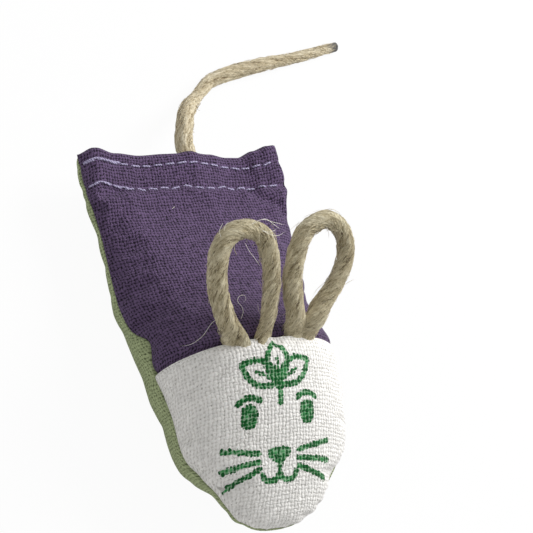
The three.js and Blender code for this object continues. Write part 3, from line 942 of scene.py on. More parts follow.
def jute(name, dark, middle, light, tip, relief):
    """Twisted jute: streaks that follow the lay of the fibres, with painted shade in the valleys between
    them.
    """
    finish = Finish(name, JUTE_ROUGHNESS, JUTE_SHEEN)
    lay = finish.attribute("lay", 1)
    valley = finish.attribute("valley")
    end = finish.attribute("worn_tip")

    def marks(across, along, detail, rough=0.5, low=0.3, high=0.7):
        """Noise stretched along the fibres."""
        place = finish.scaled(lay, (across, across, along))
        return finish.noise(place, 1, detail, rough).rise(low, high)

    streaks = marks(1.8, 0.75, 3, 0.6)
    fine = marks(5.2, 2.0, 3, 0.6)
    patches = marks(0.4, 0.25, 2)
    flecks = marks(2.6, 0.9, 1, low=0.62, high=0.72)
    # Painted shade darkens the valleys. The streaks, patches and flecks are the jute's own uneven tone.
    tone = 0.14 + 0.33 * streaks + 0.34 * fine + 0.26 * patches - 0.4 * valley - 0.34 * flecks
    hue = finish.ramp(tone, [(0.02, dark), (0.42, middle), (0.9, light)])
    finish.colour(finish.mix(end.clamp(), hue, tip))
    finish.bump(streaks * 0.6 + fine * 0.6, relief)
    return finish.material


def thread(name, colour, shade):
    """Two-ply sewing thread."""
    finish = Finish(name, 0.6, 0.2)
    x, y, z = finish.parts(finish.objects())
    plies = 0.5 + 0.5 * ((x + y * 0.7 + z * 0.4) * 9).cos()
    fluff = finish.noise(finish.objects(), 4, 3)
    finish.colour(finish.mix((plies * 0.7 + fluff * 0.5).clamp(), shade, colour))
    finish.bump(plies, THREAD_RELIEF)
    return finish.material


def wadding(name, colour, shade):
    """Carded polyester fibre."""
    finish = Finish(name, 1, 0.3)
    place = finish.scaled(finish.objects(), (0.5, 2.4, 1.1))
    fibres = finish.noise(place, 1.2, 5, 0.7)
    finish.colour(finish.mix(fibres.rise(0.25, 0.7), shade, colour))
    finish.bump(fibres, WADDING_RELIEF)
    return finish.material


def herb(name, leaf, stem, dust):
    """Crushed dried leaf with bits of stem."""
    finish = Finish(name, 1)
    place = finish.objects()
    flake = finish.node("ShaderNodeTexVoronoi", {}, {"Vector": place, "Scale": 0.8}, out=1)
    pick, bright, _ = finish.parts(flake)
    hue = finish.mix(pick.rise(0.55, 0.75), leaf, stem)
    finish.colour(finish.mix(bright.rise(0.5, 0.9) * 0.6, hue, dust))
    finish.bump(bright, HERB_RELIEF)
    return finish.material


def rope_ends(name, dark, light):
    """The same jute where it is sewn in, on solids that carry no lay of their own."""
    finish = Finish(name, JUTE_ROUGHNESS, JUTE_SHEEN)
    x, y, z = finish.parts(finish.objects())
    streaks = finish.noise(finish.vector(x * 1.4 + z * 0.5, y * 1.4, z * 0.2), 1, 4, 0.65)
    finish.colour(finish.mix(streaks.rise(0.3, 0.7), dark, light))
    finish.bump(streaks, ROPE_END_RELIEF)
    return finish.material


# Settings that a user would change

def length_setting(name, description, value):
    return FloatProperty(name=name, description=description, default=value, unit="LENGTH", precision=5)


def colour_setting(name, description, *value):
    return FloatVectorProperty(
        name=name, description=description, default=srgb(*value), subtype="COLOR", size=3, min=0, max=1
    )


class MouseClothSettings(bpy.types.PropertyGroup):
    pitch: length_setting("Yarn pitch", "From one yarn of the weave to the next", 0.82 * MM)
    face_pitch: length_setting("Face yarn pitch", "The same for the face panel", 0.94 * MM)
    groove: length_setting("Seam groove", "How far the cloth draws in at a side seam", 0.4 * MM)
    slack: FloatProperty(name="Slack", description="Spare cloth that puckers at the seams", default=0.03)
    pressure: FloatProperty(name="Stuffing", description="How hard the filling pushes", default=6)
    purple: colour_setting("Back", "Yarn of the back panel", 101, 82, 115)
    purple_gap: colour_setting("Back, between yarns", "Shade between the back's yarns", 27, 18, 34)
    white: colour_setting("Face", "Yarn of the face panel", 250, 248, 244)
    white_gap: colour_setting("Face, between yarns", "Shade between the face's yarns", 222, 219, 213)
    green: colour_setting("Belly", "Yarn of the belly panel", 178, 190, 144)
    green_gap: colour_setting("Belly, between yarns", "Shade between the belly's yarns", 112, 122, 86)
    ink: colour_setting("Print", "Ink of the printed face where it is thin", 70, 156, 90)
    deep_ink: colour_setting("Print, full", "Ink of the printed face where it is thick", 10, 88, 36)


class MouseRopeSettings(bpy.types.PropertyGroup):
    twist: length_setting("Rope twist", "Length of rope in which a strand goes round once", 24 * MM)
    tail_twist: length_setting("Tail twist", "The same for the tail, which is nearly untwisted", 70 * MM)
    strands: IntProperty(name="Strands", description="Strands in the rope", default=3, min=2)
    depth: FloatProperty(
        name="Groove share", description="Groove depth, as a share of the radius", default=0.1
    )
    fibres: IntProperty(name="Fibres", description="Separate fibres on a centimetre of rope", default=110)
    # The dark jute is old fibres, and also the painted shade in the rope's valleys
    dark: colour_setting("Jute, dark", "Old fibres and valleys", 96, 81, 58)
    middle: colour_setting("Jute", "Most of the fibres", 196, 182, 146)
    light: colour_setting("Jute, light", "Fresh fibres", 247, 238, 208)
    # The tail's dark jute is old fibres, and also the painted shade in its valleys
    tail_dark: colour_setting("Tail jute, dark", "Old fibres and valleys of the tail", 130, 113, 85)
    tail_middle: colour_setting("Tail jute", "Most of the tail's fibres", 198, 183, 150)
    tail_light: colour_setting("Tail jute, light", "Fresh fibres of the tail", 240, 230, 204)
    # The grey that the tail's last few millimetres turn to
    tip: colour_setting("Tail tip", "Soiled tip of the tail", 100, 98, 96)


class MouseThreadSettings(bpy.types.PropertyGroup):
    radius: length_setting("Thread radius", "Half of the topstitching thread's thickness", 0.23 * MM)
    stitch: length_setting("Stitch length", "Thread that shows in one stitch", 2.4 * MM)
    space: length_setting("Stitch space", "Cloth between two stitches", 0.75 * MM)
    lilac: colour_setting("Topstitching", "Thread of the two hem rows", 190, 182, 212)
    lilac_shade: colour_setting("Topstitching, shaded", "Between the thread's plies", 128, 118, 158)


class MouseStageSettings(bpy.types.PropertyGroup):
    floor: colour_setting("Floor", "Pale floor", 242, 242, 242)
    sky: FloatProperty(name="Ambient", description="Strength of the even light", default=0.42)
    key: FloatProperty(name="Key lamp", description="Power of the large lamp", default=2.75, unit="POWER")
    fill: FloatProperty(name="Fill lamp", description="Power of the weak lamp", default=0.5, unit="POWER")


class MouseSettings(bpy.types.PropertyGroup):
    cloth: PointerProperty(name="Cloth", description="The sewn panels", type=MouseClothSettings)
    rope: PointerProperty(name="Rope", description="Ears and tail", type=MouseRopeSettings)
    thread: PointerProperty(name="Thread", description="The hem's rows", type=MouseThreadSettings)
    stage: PointerProperty(name="Stage", description="Floor and light", type=MouseStageSettings)


# Sewn panels

def panel_mesh(pouch, side, start, stop, across, along, reach):
    """A panel's outer face with its turned-in edges. Its UV map is the cloth as it was cut."""
    bm = bmesh.new()
    column_of = bm.verts.layers.int.new("column")
    row_of = bm.verts.layers.int.new("row")
    ink_of = bm.verts.layers.float.new("ink")
    rows = grid_rows(bm, across, along)
    for r, row in enumerate(rows):
        place = start + (stop - start) * r / along
        for c, vert in enumerate(row):
            vert.co = pouch.at(side, place, 2 * c / across - 1)
            vert[column_of] = c
            vert[row_of] = r

    # The cloth's length is measured down the face's middle, and elsewhere clear of the tail
    middle = across // 2
    measured = across // 4 if reach is None else middle
    ahead = [0.0]
    for near, far in zip(rows, rows[1:]):
        ahead.append(ahead[-1] + (far[measured].co - near[measured].co).length / MM)
    if side > 0 and start < 1:
        ahead = [value - ahead[-1] for value in ahead]
    cut = {}
    for r, row in enumerate(rows):
        for sign in (1, -1):
            u = 0.0
            for c in range(middle, across + 1 if sign > 0 else -1, sign):
                if c != middle:
                    u += sign * (row[c].co - row[c - sign].co).length / MM
                cut[(r, c)] = (u, ahead[r])
    if reach is not None:
        values = reach([cut[(r, c)] for r in range(along + 1) for c in range(across + 1)])
        for r, row in enumerate(rows):
            for c, vert in enumerate(row):
                vert[ink_of] = values[r * (across + 1) + c]

    # The edges turn in: along the body at its ends, down at the face seam, across it at the sides
    border = [edge for edge in bm.edges if edge.is_boundary]
    made = bmesh.ops.extrude_edge_only(bm, edges=border)
    inward = {0: Vector((0, 1, 0)), along: Vector((0, -1, 0))}
    if side > 0 and stop == 1:
        inward[along] = Vector((0, 0, -1))
    if side > 0 and start == 1:
        inward[0] = Vector((0, 0, -1))
    for vert in (item for item in made["geom"] if isinstance(item, bmesh.types.BMVert)):
        shift = inward.get(vert[row_of], Vector((0, 0, 0))).copy()
        if vert[column_of] == 0:
            shift += Vector((1, 0, 0))
        elif vert[column_of] == across:
            shift += Vector((-1, 0, 0))
        vert.co += shift * TURNED_IN
        vert[ink_of] = NO_INK
    layer = bm.loops.layers.uv.new("cut")
    for face in bm.faces:
        for loop in face.loops:
            loop[layer].uv = cut[(loop.vert[row_of], loop.vert[column_of])]
    if side < 0:
        bmesh.ops.reverse_faces(bm, faces=bm.faces[:])
    return bm


def panel(pouch, name, node, material, side, start, stop, across, along, reach=None):
    """One finished panel, from one place on the body to another, in so many steps each way."""
    piece = link(name, panel_mesh(pouch, side, start, stop, across, along, reach), material)
    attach(piece, "pouch")
    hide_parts(node)
    return piece


# The print, in millimetres on the cut cloth: across from the middle, and ahead of the face seam

def arc(x, y, radius_x, radius_y, first, last, steps=14):
    """Points on an oval arc, between two angles in degrees."""
    angles = [math.radians(first + (last - first) * k / steps) for k in range(steps + 1)]
    return [(x + radius_x * math.cos(a), y + radius_y * math.sin(a)) for a in angles]


def leaf(x, y, length, width, turn):
    """Outline of a pointed leaf and its rib, from its foot."""
    along = math.radians(turn)
    sides = []
    for sign in (1, -1):
        side = []
        for k in range(11):
            t = k / 10
            over = sign * width / 2 * math.sin(PI * t) ** 0.8
            side.append((
                x + length * t * math.cos(along) - over * math.sin(along),
                y + length * t * math.sin(along) + over * math.cos(along),
            ))
        sides.append(side)
    rib = [(x, y), (x + 0.6 * length * math.cos(along), y + 0.6 * length * math.sin(along))]
    return sides + [rib]


PRINT_MIDDLE = -1.5
LINE_HALF = 0.72
ARC_HALF = 0.75
RIB_HALF = 0.42
STEM_HALF = 0.8
LEAF_FOOT_Y = -13.5
LEAF_WIDTH = 5.4
LEAVES = ((90, 9.5), (30, 10), (150, 10))
EYE_X = 7.6
EYE_Y = -20.5
EYE_HALF_WIDTH = 2.0
EYE_HALF_RUN = 0.9
NOSE_PRINT_Y = -29.5
MOUTH_DROP = 4.2
WHISKER_X = 5.2
WHISKER_LENGTH = 9
WHISKERS = ((0.3, 12), (-1.6, -4), (-3.4, -20))
NO_INK = -10.0


def print_strokes():
    """Each stroke's points and half thickness: three leaves on a stem, and a plain animal face."""
    strokes = []
    for turn, length in LEAVES:
        outline = leaf(0, LEAF_FOOT_Y, length, LEAF_WIDTH, turn)
        strokes += [(line, LINE_HALF) for line in outline[:2]]
        strokes.append((outline[2], RIB_HALF))
    strokes.append(([(0, LEAF_FOOT_Y), (0.4, -16), (0.2, -18)], STEM_HALF))
    for sign in (1, -1):
        x = sign * EYE_X
        strokes.append(([(x, EYE_Y - EYE_HALF_RUN), (x, EYE_Y + EYE_HALF_RUN)], EYE_HALF_WIDTH))
        strokes.append((arc(x, EYE_Y - 0.6, 4.6, 4.9, 55, 125), ARC_HALF))
        strokes.append((arc(sign * 2.3, NOSE_PRINT_Y - MOUTH_DROP, 2.3, 2.2, 190, 350), ARC_HALF))
        for rise, turn in WHISKERS:
            angle = math.radians(turn)
            near = (sign * WHISKER_X, NOSE_PRINT_Y + rise)
            out = WHISKER_X + WHISKER_LENGTH * math.cos(angle)
            far = (sign * out, near[1] + WHISKER_LENGTH * math.sin(angle))
            strokes.append(([near, far], LINE_HALF))
    strokes.append(([(-1.7, NOSE_PRINT_Y), (1.7, NOSE_PRINT_Y)], 1.35))
    strokes.append(([(-0.8, NOSE_PRINT_Y - 1), (0, NOSE_PRINT_Y - 1.7), (0.8, NOSE_PRINT_Y - 1)], 1.1))
    strokes.append(([(0, NOSE_PRINT_Y - 2), (0, NOSE_PRINT_Y - MOUTH_DROP)], 0.6))
    return strokes


def print_reach(points):
    """How far inside the nearest stroke each point lies, below zero outside."""
    places = numpy.array(points)
    places[:, 0] -= PRINT_MIDDLE
    best = numpy.full(len(points), NO_INK)
    for line, half in print_strokes():
        for start, stop in zip(line, line[1:]):
            first = numpy.array(start)
            run = numpy.array(stop) - first
            t = numpy.clip((places - first) @ run / (run @ run), 0, 1)
            gap = numpy.linalg.norm(places - first - t[:, None] * run, axis=1)
            best = numpy.maximum(best, half - gap)
    return best.tolist()


class MOUSE_OT_panels(bpy.types.Operator):
    """Sews the back, the face and the belly, puffed up by their filling"""

    bl_idname = "mouse.panels"
    bl_label = "Sewn Panels"

    def execute(self, context):
        cloth = context.scene.mouse.cloth
        pouch = Pouch(cloth.groove)
        for side in (1, -1):
            simulate(pouch, side, cloth.slack, cloth.pressure)
        pitch = cloth.pitch / MM
        face_pitch = cloth.face_pitch / MM
        purple = canvas("purple_canvas", cloth.purple, cloth.purple_gap, pitch, BACK_CRISP)
        green = canvas("green_canvas", cloth.green, cloth.green_gap, pitch, BELLY_CRISP)
        white = printed_canvas(
            "white_canvas", cloth.white, cloth.white_gap, cloth.ink, cloth.deep_ink, face_pitch)
        panel(pouch, "back_cloth", "back_panel", purple, 1, 1, 2, 130, 120)
        panel(pouch, "face_cloth", "face_panel", white, 1, 0, 1, 150, 150, print_reach)
        panel(pouch, "belly_cloth", "belly_panel", green, -1, 0, 2, 110, 160)
        SHARED["pouch"] = pouch
        return {"FINISHED"}


# Rope and thread

def hermite_route(points, step, number=None):
    """Evenly spaced points on a smooth curve through the given ones."""
    count = len(points)
    gaps = [(b - a).length for a, b in zip(points, points[1:])]
    slopes = []
    for k, point in enumerate(points):
        low = max(k - 1, 0)
        high = min(k + 1, count - 1)
        span = sum(gaps[low:high])
        slopes.append((points[high] - points[low]) / span)
    fine = []
    for k, gap in enumerate(gaps):
        for j in range(FINE_STEPS):
            fine.append(curve_between(
                j / FINE_STEPS, points[k], slopes[k] * gap, points[k + 1], slopes[k + 1] * gap))
    fine.append(points[-1])
    lengths = [0.0]
    for a, b in zip(fine, fine[1:]):
        lengths.append(lengths[-1] + (b - a).length)
    number = number or max(round(lengths[-1] / step), 4)
    route = []
    at = 0
    for k in range(number + 1):
        goal = lengths[-1] * k / number
        while at < len(fine) - 2 and lengths[at + 1] < goal:
            at += 1
        share = (goal - lengths[at]) / max(lengths[at + 1] - lengths[at], 1e-12)
        route.append(fine[at].lerp(fine[at + 1], min(max(share, 0), 1)))
    return route


def carried_frames(route, first_side):
    """For each point its place, two square directions, its own direction and its distance along."""
    frames = []
    side = first_side
    far = 0.0
    for k, point in enumerate(route):
        ahead = (route[min(k + 1, len(route) - 1)] - route[max(k - 1, 0)]).normalized()
        side = (side - ahead * side.dot(ahead)).normalized()
        if k:
            far += (point - route[k - 1]).length
        frames.append((point, side, ahead.cross(side), ahead, far))
    return frames


def tube(bm, frames, sides, shape):
    """A closed tube. Its shape gives offsets across the rope for a distance and a turn."""
    lay_of = bm.verts.layers.float_vector.get("lay")
    valley_of = bm.verts.layers.float.get("valley")
    tip_of = bm.verts.layers.float.get("worn_tip")
    made = bmesh.ops.create_grid(bm, x_segments=sides, y_segments=len(frames) - 1, size=1)
    verts = made["verts"]
    for vert in verts:
        turn = (vert.co.x + 1) * PI
        ring = round((vert.co.y + 1) / 2 * (len(frames) - 1))
        point, side, up, _, far = frames[ring]
        x, y, lay, valley, grey = shape(far, turn)
        vert.co = point + side * x + up * y
        if lay_of:
            vert[lay_of] = lay
            vert[valley_of] = valley
            vert[tip_of] = grey
    faces = list({face for vert in verts for face in vert.link_faces})
    bmesh.ops.remove_doubles(bm, verts=verts, dist=1e-7)
    faces = [face for face in faces if face.is_valid]
    bmesh.ops.recalc_face_normals(bm, faces=faces)


def rope_bmesh():
    """An empty bmesh whose points can carry what the jute reads."""
    bm = bmesh.new()
    bm.verts.layers.float_vector.new("lay")
    bm.verts.layers.float.new("valley")
    bm.verts.layers.float.new("worn_tip")
    return bm


def rope_shape(total, radius_at, flat_at, seed, settings, twist, grey_from=None, rounding=1 * MM):
    """Section of a loosely twisted rope: lobes that come and go, lumps, and bundles of fibres."""
    winding = 2 * PI / twist
    offset = Vector((seed * 7.3, seed * 3.1, seed * 5.7))

    def uneven(lay, kind, shift):
        across, along, _ = kind
        return noise.noise(Vector((lay.x * across, lay.y * across, lay.z * along)) + shift)

    def shape(far, turn):
        own = turn - winding * far
        stretch = noise.noise(Vector((far / FIRM_RUN, seed * 3.3, 0.4)))
        firm = settings.depth * (FIRM_LEAST + FIRM_MORE * stretch)
        lobe = abs(math.cos(settings.strands * own / 2 + seed)) ** LOBE_POWER
        around = ROPE_RADIUS / MM
        lay = Vector((math.cos(own) * around, math.sin(own) * around, far / MM + seed * 100))
        lumps = uneven(lay, ROPE_LUMPS, -offset) * ROPE_LUMPS[2]
        fibres = uneven(lay, ROPE_FIBRES, offset)
        relief = uneven(lay, ROPE_BUNDLES, offset) * ROPE_BUNDLES[2] + fibres * ROPE_FIBRES[2]
        relief -= firm * (1 - lobe)
        radius = radius_at(far) * (ROPE_SWELL + lumps + relief)
        radius *= arc_end(min(far, total - far), rounding)
        wide, thin = flat_at(far)
        grey = 0.0
        # The tail's last few millimetres turn grey, with a ragged edge that follows the fibres
        if grey_from is not None:
            grey = smooth((far - grey_from) / GREY_TIP_FADE + 2 * fibres)
        x = math.cos(turn) * radius * wide
        y = math.sin(turn) * radius * thin
        # Besides the offsets: the lay, the painted shade of the valleys between the strands, and the
        # tip's grey
        return x, y, lay, smooth(-relief / VALLEY_DEPTH), grey

    return shape


def fibre_tubes(name, fibres, material, rings=FIBRE_RINGS):
    """Fine tubes with three sides, each from its points, its radius and the place of its tone."""
    bm = rope_bmesh()
    lay_of = bm.verts.layers.float_vector.get("lay")
    rows = grid_rows(bm, FIBRE_SIDES, len(fibres) * rings - 1)
    links = set()
    for number, (points, radius, tone) in enumerate(fibres):
        run = sum((b - a).length for a, b in zip(points, points[1:]))
        curve = hermite_route(points, run / (rings - 1), rings - 1)
        first = number * rings
        for ring, (point, side, up, _, far) in enumerate(carried_frames(curve, FIBRE_SIDE)):
            thick = radius * min(1, FIBRE_TAPER * (1 - ring / (rings - 1)) + 0.02)
            for column, vert in enumerate(rows[first + ring]):
                turn = 2 * PI * column / FIBRE_SIDES
                vert.co = point + (side * math.cos(turn) + up * math.sin(turn)) * thick
                vert[lay_of] = (2, tone * 0.1, tone + far / MM)
        # The faces that would join this fibre to the last one go
        if number:
            behind = set(rows[first - 1])
            for vert in rows[first]:
                links.update(face for face in vert.link_faces if behind.intersection(face.verts))
    bmesh.ops.delete(bm, geom=list(links), context="FACES")
    bmesh.ops.remove_doubles(bm, verts=bm.verts[:], dist=1e-7)
    bmesh.ops.recalc_face_normals(bm, faces=bm.faces[:])
    return link(name, bm, material)


def rope_fibres(
    name, frames, radius_at, flat_at, settings, twist, seed, material, first=4, loose_share=0.05
):
    """Fibres that lie slantwise on a rope, a few of them standing off it."""
    rng = random.Random(seed)
    last = len(frames) - 3
    step = frames[-1][4] / (len(frames) - 1)
    winding = 2 * PI / twist
    fibres = []
    for _ in range(round(settings.fibres * (last - first) * step / (10 * MM))):
        loose = rng.random() < loose_share
        length = rng.uniform(*(LOOSE_LENGTHS if loose else LYING_LENGTHS)) * MM
        ring = rng.uniform(first, last)
        turn = rng.uniform(0, 2 * PI)
        slant = winding * length * rng.uniform(*FIBRE_SLANTS) + rng.gauss(0, FIBRE_SPREAD)
        along = rng.choice((-1, 1)) * length / step
        lift = rng.uniform(*(LOOSE_LIFTS if loose else LYING_LIFTS)) * MM
        points = []
        for share in FIBRE_SHARES:
            at = ring + along * share
            if not first <= at < last:
                break
            low = int(at)
            near, far = frames[low], frames[low + 1]
            centre = near[0].lerp(far[0], at - low)
            angle = turn + math.copysign(slant, along) * share
            wide, thin = flat_at(near[4])
            out = near[1] * math.cos(angle) * wide + near[2] * math.sin(angle) * thin
            stand = lift * share**2 if loose else lift * math.sin(PI * share) - LYING_SINK * MM
            points.append(centre + out * (radius_at(near[4]) * 1.03 + stand))
        if len(points) == len(FIBRE_SHARES) and min(point.z for point in points) > FIBRE_FLOOR * MM:
            fibres.append((points, rng.uniform(*FIBRE_RADII) * MM, rng.uniform(*FIBRE_TONES)))
    return fibre_tubes(name, fibres, material)


def ear_route(name):
    """The loop's points, from inside the seam round to inside the seam again."""
    hinge = HINGES[name]
    route = []
    for across, along in EAR_ROUTES[name]:
        route.append(hinge + Vector((
            across, along * math.cos(EAR_LEAN), along * math.sin(EAR_LEAN))) * MM)
    for end in (0, -1):
        route[end] += Vector((0, EAR_FOOT_BACK, -EAR_FOOT_SINK))
    roots = []
    for foot, above in ((route[0], route[1]), (route[-1], route[-2])):
        lean = Vector(((foot.x - above.x) * EAR_ROOT_LEAN, 0, 0))
        roots.append(foot + EAR_ROOT + lean)
    return [roots[0], *route, roots[1]]


class MOUSE_OT_ears(bpy.types.Operator):
    """Twists the two rope loops that stand out of the face seam"""

    bl_idname = "mouse.ears"
    bl_label = "Rope Ears"

    def execute(self, context):
        rope = context.scene.mouse.rope
        material = jute("jute_rope", rope.dark, rope.middle, rope.light, rope.tip, EAR_RELIEF)
        for seed, name in enumerate(EAR_ROUTES, 1):
            route = hermite_route(ear_route(name), ROPE_STEP)
            frames = carried_frames(route, Vector((0, 1, 0)))
            total = frames[-1][4]

            def radius_at(far):
                return ROPE_RADIUS * follow(EAR_GIRTHS[name], far / total)

            def flat_at(far):
                end = min(far, total - far)
                pressed = EAR_PRESSED * (1 - smooth((end - EAR_PRESSED_FROM) / EAR_PRESSED_LENGTH))
                return 1 - pressed, 1 + pressed

            bm = rope_bmesh()
            twist = rope.twist
            tube(bm, frames, ROPE_SIDES, rope_shape(total, radius_at, flat_at, seed, rope, twist))
            loop = link(f"{name}_rope", bm, material)
            fuzz = rope_fibres(f"{name}_fibres", frames, radius_at, flat_at, rope, twist, seed, material)
            for piece in (loop, fuzz):
                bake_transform(piece)
            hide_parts(name, f"{name}_end_outer", f"{name}_end_inner")
        return {"FINISHED"}


def tail_radius(share):
    """The tail thins towards its tip."""
    return ROPE_RADIUS * follow(TAIL_TAPER_SHARES, share)


class MOUSE_OT_tail(bpy.types.Operator):
    """Lays the rope tail from the middle of the hem down to the floor"""

    bl_idname = "mouse.tail"
    bl_label = "Rope Tail"

    def execute(self, context):
        rope = context.scene.mouse.rope
        hinge = HINGES["tail"]
        leaving = Vector((TAIL_X, HEM_Y, HEM_SEAM_Z))
        points = [leaving]
        behind = [math.hypot(x, y) for x, y, _ in TAIL_ROUTE]
        for (across, back, height), gone in zip(TAIL_ROUTE, behind):
            low = tail_radius(gone / behind[-1])
            z = low + (HEM_SEAM_Z - low) * height
            points.append(Vector((hinge.x + across * MM, hinge.y + back * MM, z)))
        inside = leaving - TAIL_INSIDE
        route = hermite_route([inside, *points], ROPE_STEP)
        frames = carried_frames(route, Vector((0, 0, 1)))
        total = frames[-1][4]
        hidden = (leaving - inside).length

        def radius_at(far):
            return tail_radius(max(far - hidden, 0) / (total - hidden))

        def flat_at(far):
            """Pressed flat between the hem's layers, round again a little way out."""
            flat = 1 - smooth((far - hidden + TAIL_FLAT_FROM) / TAIL_FLAT_LENGTH)
            return 1 - TAIL_THINNED * flat, 1 + TAIL_WIDENED * flat

        bm = rope_bmesh()
        grey_from = total - GREY_TIP_LENGTH
        twist = rope.tail_twist
        seed = TAIL_SEED
        shape = rope_shape(
            total, radius_at, flat_at, seed, rope, twist, grey_from, TAIL_ROUNDING)
        tube(bm, frames, ROPE_SIDES, shape)
        colours = (rope.tail_dark, rope.tail_middle, rope.tail_light, rope.tip)
        material = jute("pale_jute_rope", *colours, TAIL_RELIEF)
        tail = link("tail_rope", bm, material)
        shown = round(hidden / ROPE_STEP)
        fuzz = rope_fibres(
            "tail_fibres", frames, radius_at, flat_at, rope, twist, seed, material, shown,
            TAIL_LOOSE_SHARE)
        for piece in (tail, fuzz):
            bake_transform(piece)
        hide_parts("tail", "tail_end")
        return {"FINISHED"}


# Stitches: how finely each is divided, its two plies, how it lies on the cloth and dives into it,
# and how much the length and the slant of the next one vary
STITCH_POINTS = 6
STITCH_STEP = 0.16 * MM
STITCH_SIDES = 8
STITCH_ROUNDING = 0.2 * MM
PLY_RELIEF = 0.14
PLY_RUN = 0.16 * MM
STITCH_LIFT = 0.05 * MM
STITCH_ARCH = 0.12 * MM
STITCH_DIVE = 0.35 * MM
STITCH_LENGTHS = (0.93, 1.07)
STITCH_DRIFTS = (-0.35, 0.35)
SHORTEST_STITCH = 1.2 * MM
ROW_END = 0.3 * MM
ROW_SEED = 40

# Long stitches at the left end of each row: from, to and how much each slants. They lie a little
# nearer the edge, thicker in the outer row and thinner in the inner one.
LONG_STITCHES = (
    [(-27.9, -21.6, 0.4), (-23.6, -17.8, -0.4)],
    [(-26.4, -21.4, 0.2), (-21.6, -16.4, -0.2)],
)
LONG_STITCH_GIRTHS = (1.15, 0.85)
LONG_STITCH_OFF = -0.2 * MM


def stitch(bm, pouch, side, row, low, high, radius, drift=0.0, off=0.0):
    """One stitch that dives into the cloth at both ends."""
    points = []
    for k in range(STITCH_POINTS + 1):
        share = k / STITCH_POINTS
        x = low + (high - low) * share
        here, out = pouch.stitched(side, row_distance(row, x) + off + drift * (share - 0.5), x)
        lift = -STITCH_DIVE
        if 0 < k < STITCH_POINTS:
            lift = STITCH_ARCH * math.sin(PI * share) ** 0.4 + STITCH_LIFT
        points.append(here + out * lift)
    frames = carried_frames(hermite_route(points, STITCH_STEP), Vector((0, 1, 0)))
    total = frames[-1][4]

    def shape(far, turn):
        plies = 1 + PLY_RELIEF * math.cos(2 * turn - far / PLY_RUN)
        thick = radius * plies * arc_end(min(far, total - far), STITCH_ROUNDING)
        return math.cos(turn) * thick, math.sin(turn) * thick, None, None, None

    tube(bm, frames, STITCH_SIDES, shape)


class MOUSE_OT_stitches(bpy.types.Operator):
    """Sews the two rows of topstitching through the rear hem"""

    bl_idname = "mouse.stitches"
    bl_label = "Hem Stitches"

    def execute(self, context):
        settings = context.scene.mouse.thread
        pouch = SHARED["pouch"]
        lilac = thread("lilac_thread", settings.lilac, settings.lilac_shade)
        for row, name in enumerate(("outer", "inner")):
            rng = random.Random(ROW_SEED + row)
            bm = bmesh.new()
            pitch = settings.stitch + settings.space
            reach = seam_point(1 - ROW_PLACES[row] / LENGTH, 1).x - ROW_END
            start = -reach
            while start < reach:
                stop = min(start + settings.stitch * rng.uniform(*STITCH_LENGTHS), reach)
                drift = rng.uniform(*STITCH_DRIFTS) * MM
                for side, shift in ((1, 0), (-1, pitch / 2)):
                    low, high = start + shift, stop + shift
                    if high < reach and stop - start > SHORTEST_STITCH:
                        stitch(bm, pouch, side, row, low, high, settings.radius, drift)
                start += pitch
            thick = settings.radius * LONG_STITCH_GIRTHS[row]
            for low, high, drift in LONG_STITCHES[row]:
                stitch(bm, pouch, 1, row, low * MM, high * MM, thick, drift * MM, LONG_STITCH_OFF)
            piece = link(f"hem_stitches_{name}", bm, lilac)
            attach(piece, "pouch")
            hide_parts(f"hem_thread_{name}")
        return {"FINISHED"}


# Loose fibres that the photograph shows, by the pixels that they pass, and their height in
# millimetres over the cloth or over the middle of the left ear's loop

CLOTH_FIBRES = [
    [(220, 319, 0.5), (212, 324, 0.3), (203, 336, 0.1), (192, 344, 0.05), (180, 346.5, 0)],
    [
        (241, 319, 0.1), (243, 312, 0.2), (241, 307, 0.3), (237.5, 303, 0.4), (238.5, 298, 0.4),
        (243.5, 296.5, 0.4), (245.5, 300, 0.3), (242, 304, 0.2),
    ],
    [(172.3, 208.8, 0.1), (173.4, 207.5, 0.2), (175, 207, 0.1)],
]
EAR_FIBRES = [
    [(221, 237, 1.6), (219.5, 231, 1.6), (223, 222.5, 1.2)],
    [(224, 231, 1.8), (225, 226, 1.6), (229, 221, 1.4)],
    [(252, 224, 2), (262, 219.5, 2.2), (275, 222.5, 2), (285.5, 225, 1.8)],
    [(259, 227, 2), (267, 233, 2.4), (278, 235.5, 2), (286, 231, 1.6)],
    [(257, 221, 2), (266, 219, 2), (274, 224.5, 2.2), (281, 229.5, 1.8)],
    [(245, 243, 1.6), (249, 250.5, 1.2), (256, 260, 0.8), (261, 267.5, 0.6)],
    [(262, 231, 2), (270, 232, 2.4), (277, 229, 2.2)],
]
LOOSE_FIBRE_RADIUS = 0.055 * MM
LOOSE_FIBRE_RINGS = 25
LOOSE_FIBRE_TONE = 7.0
PALE_FIBRE = (srgb(250, 246, 232), srgb(255, 253, 246))


def camera_axes():
    """Directions of the view: to the right, up and back towards the camera."""
    across = Vector((math.cos(CAMERA_AZIMUTH), math.sin(CAMERA_AZIMUTH), 0))
    back = Vector((
        math.cos(CAMERA_ELEVATION) * math.sin(CAMERA_AZIMUTH),
        -math.cos(CAMERA_ELEVATION) * math.cos(CAMERA_AZIMUTH),
        math.sin(CAMERA_ELEVATION),
    ))
    above = back.cross(across)
    right = across * math.cos(CAMERA_ROLL) + above * math.sin(CAMERA_ROLL)
    return right, back.cross(right), back


def pixel_ray(x, y):
    """Eye and direction of one of the photograph's pixels."""
    right, up, back = camera_axes()
    middle = PHOTO_PX / 2
    centre_x = middle - CENTRE_OFFSET_PX[0]
    centre_y = middle + CENTRE_OFFSET_PX[1]
    ray = -back + right * ((x - centre_x) / CAMERA_FOCAL_PX) - up * ((y - centre_y) / CAMERA_FOCAL_PX)
    return CAMERA_CENTRE + back * CAMERA_DISTANCE, ray.normalized()


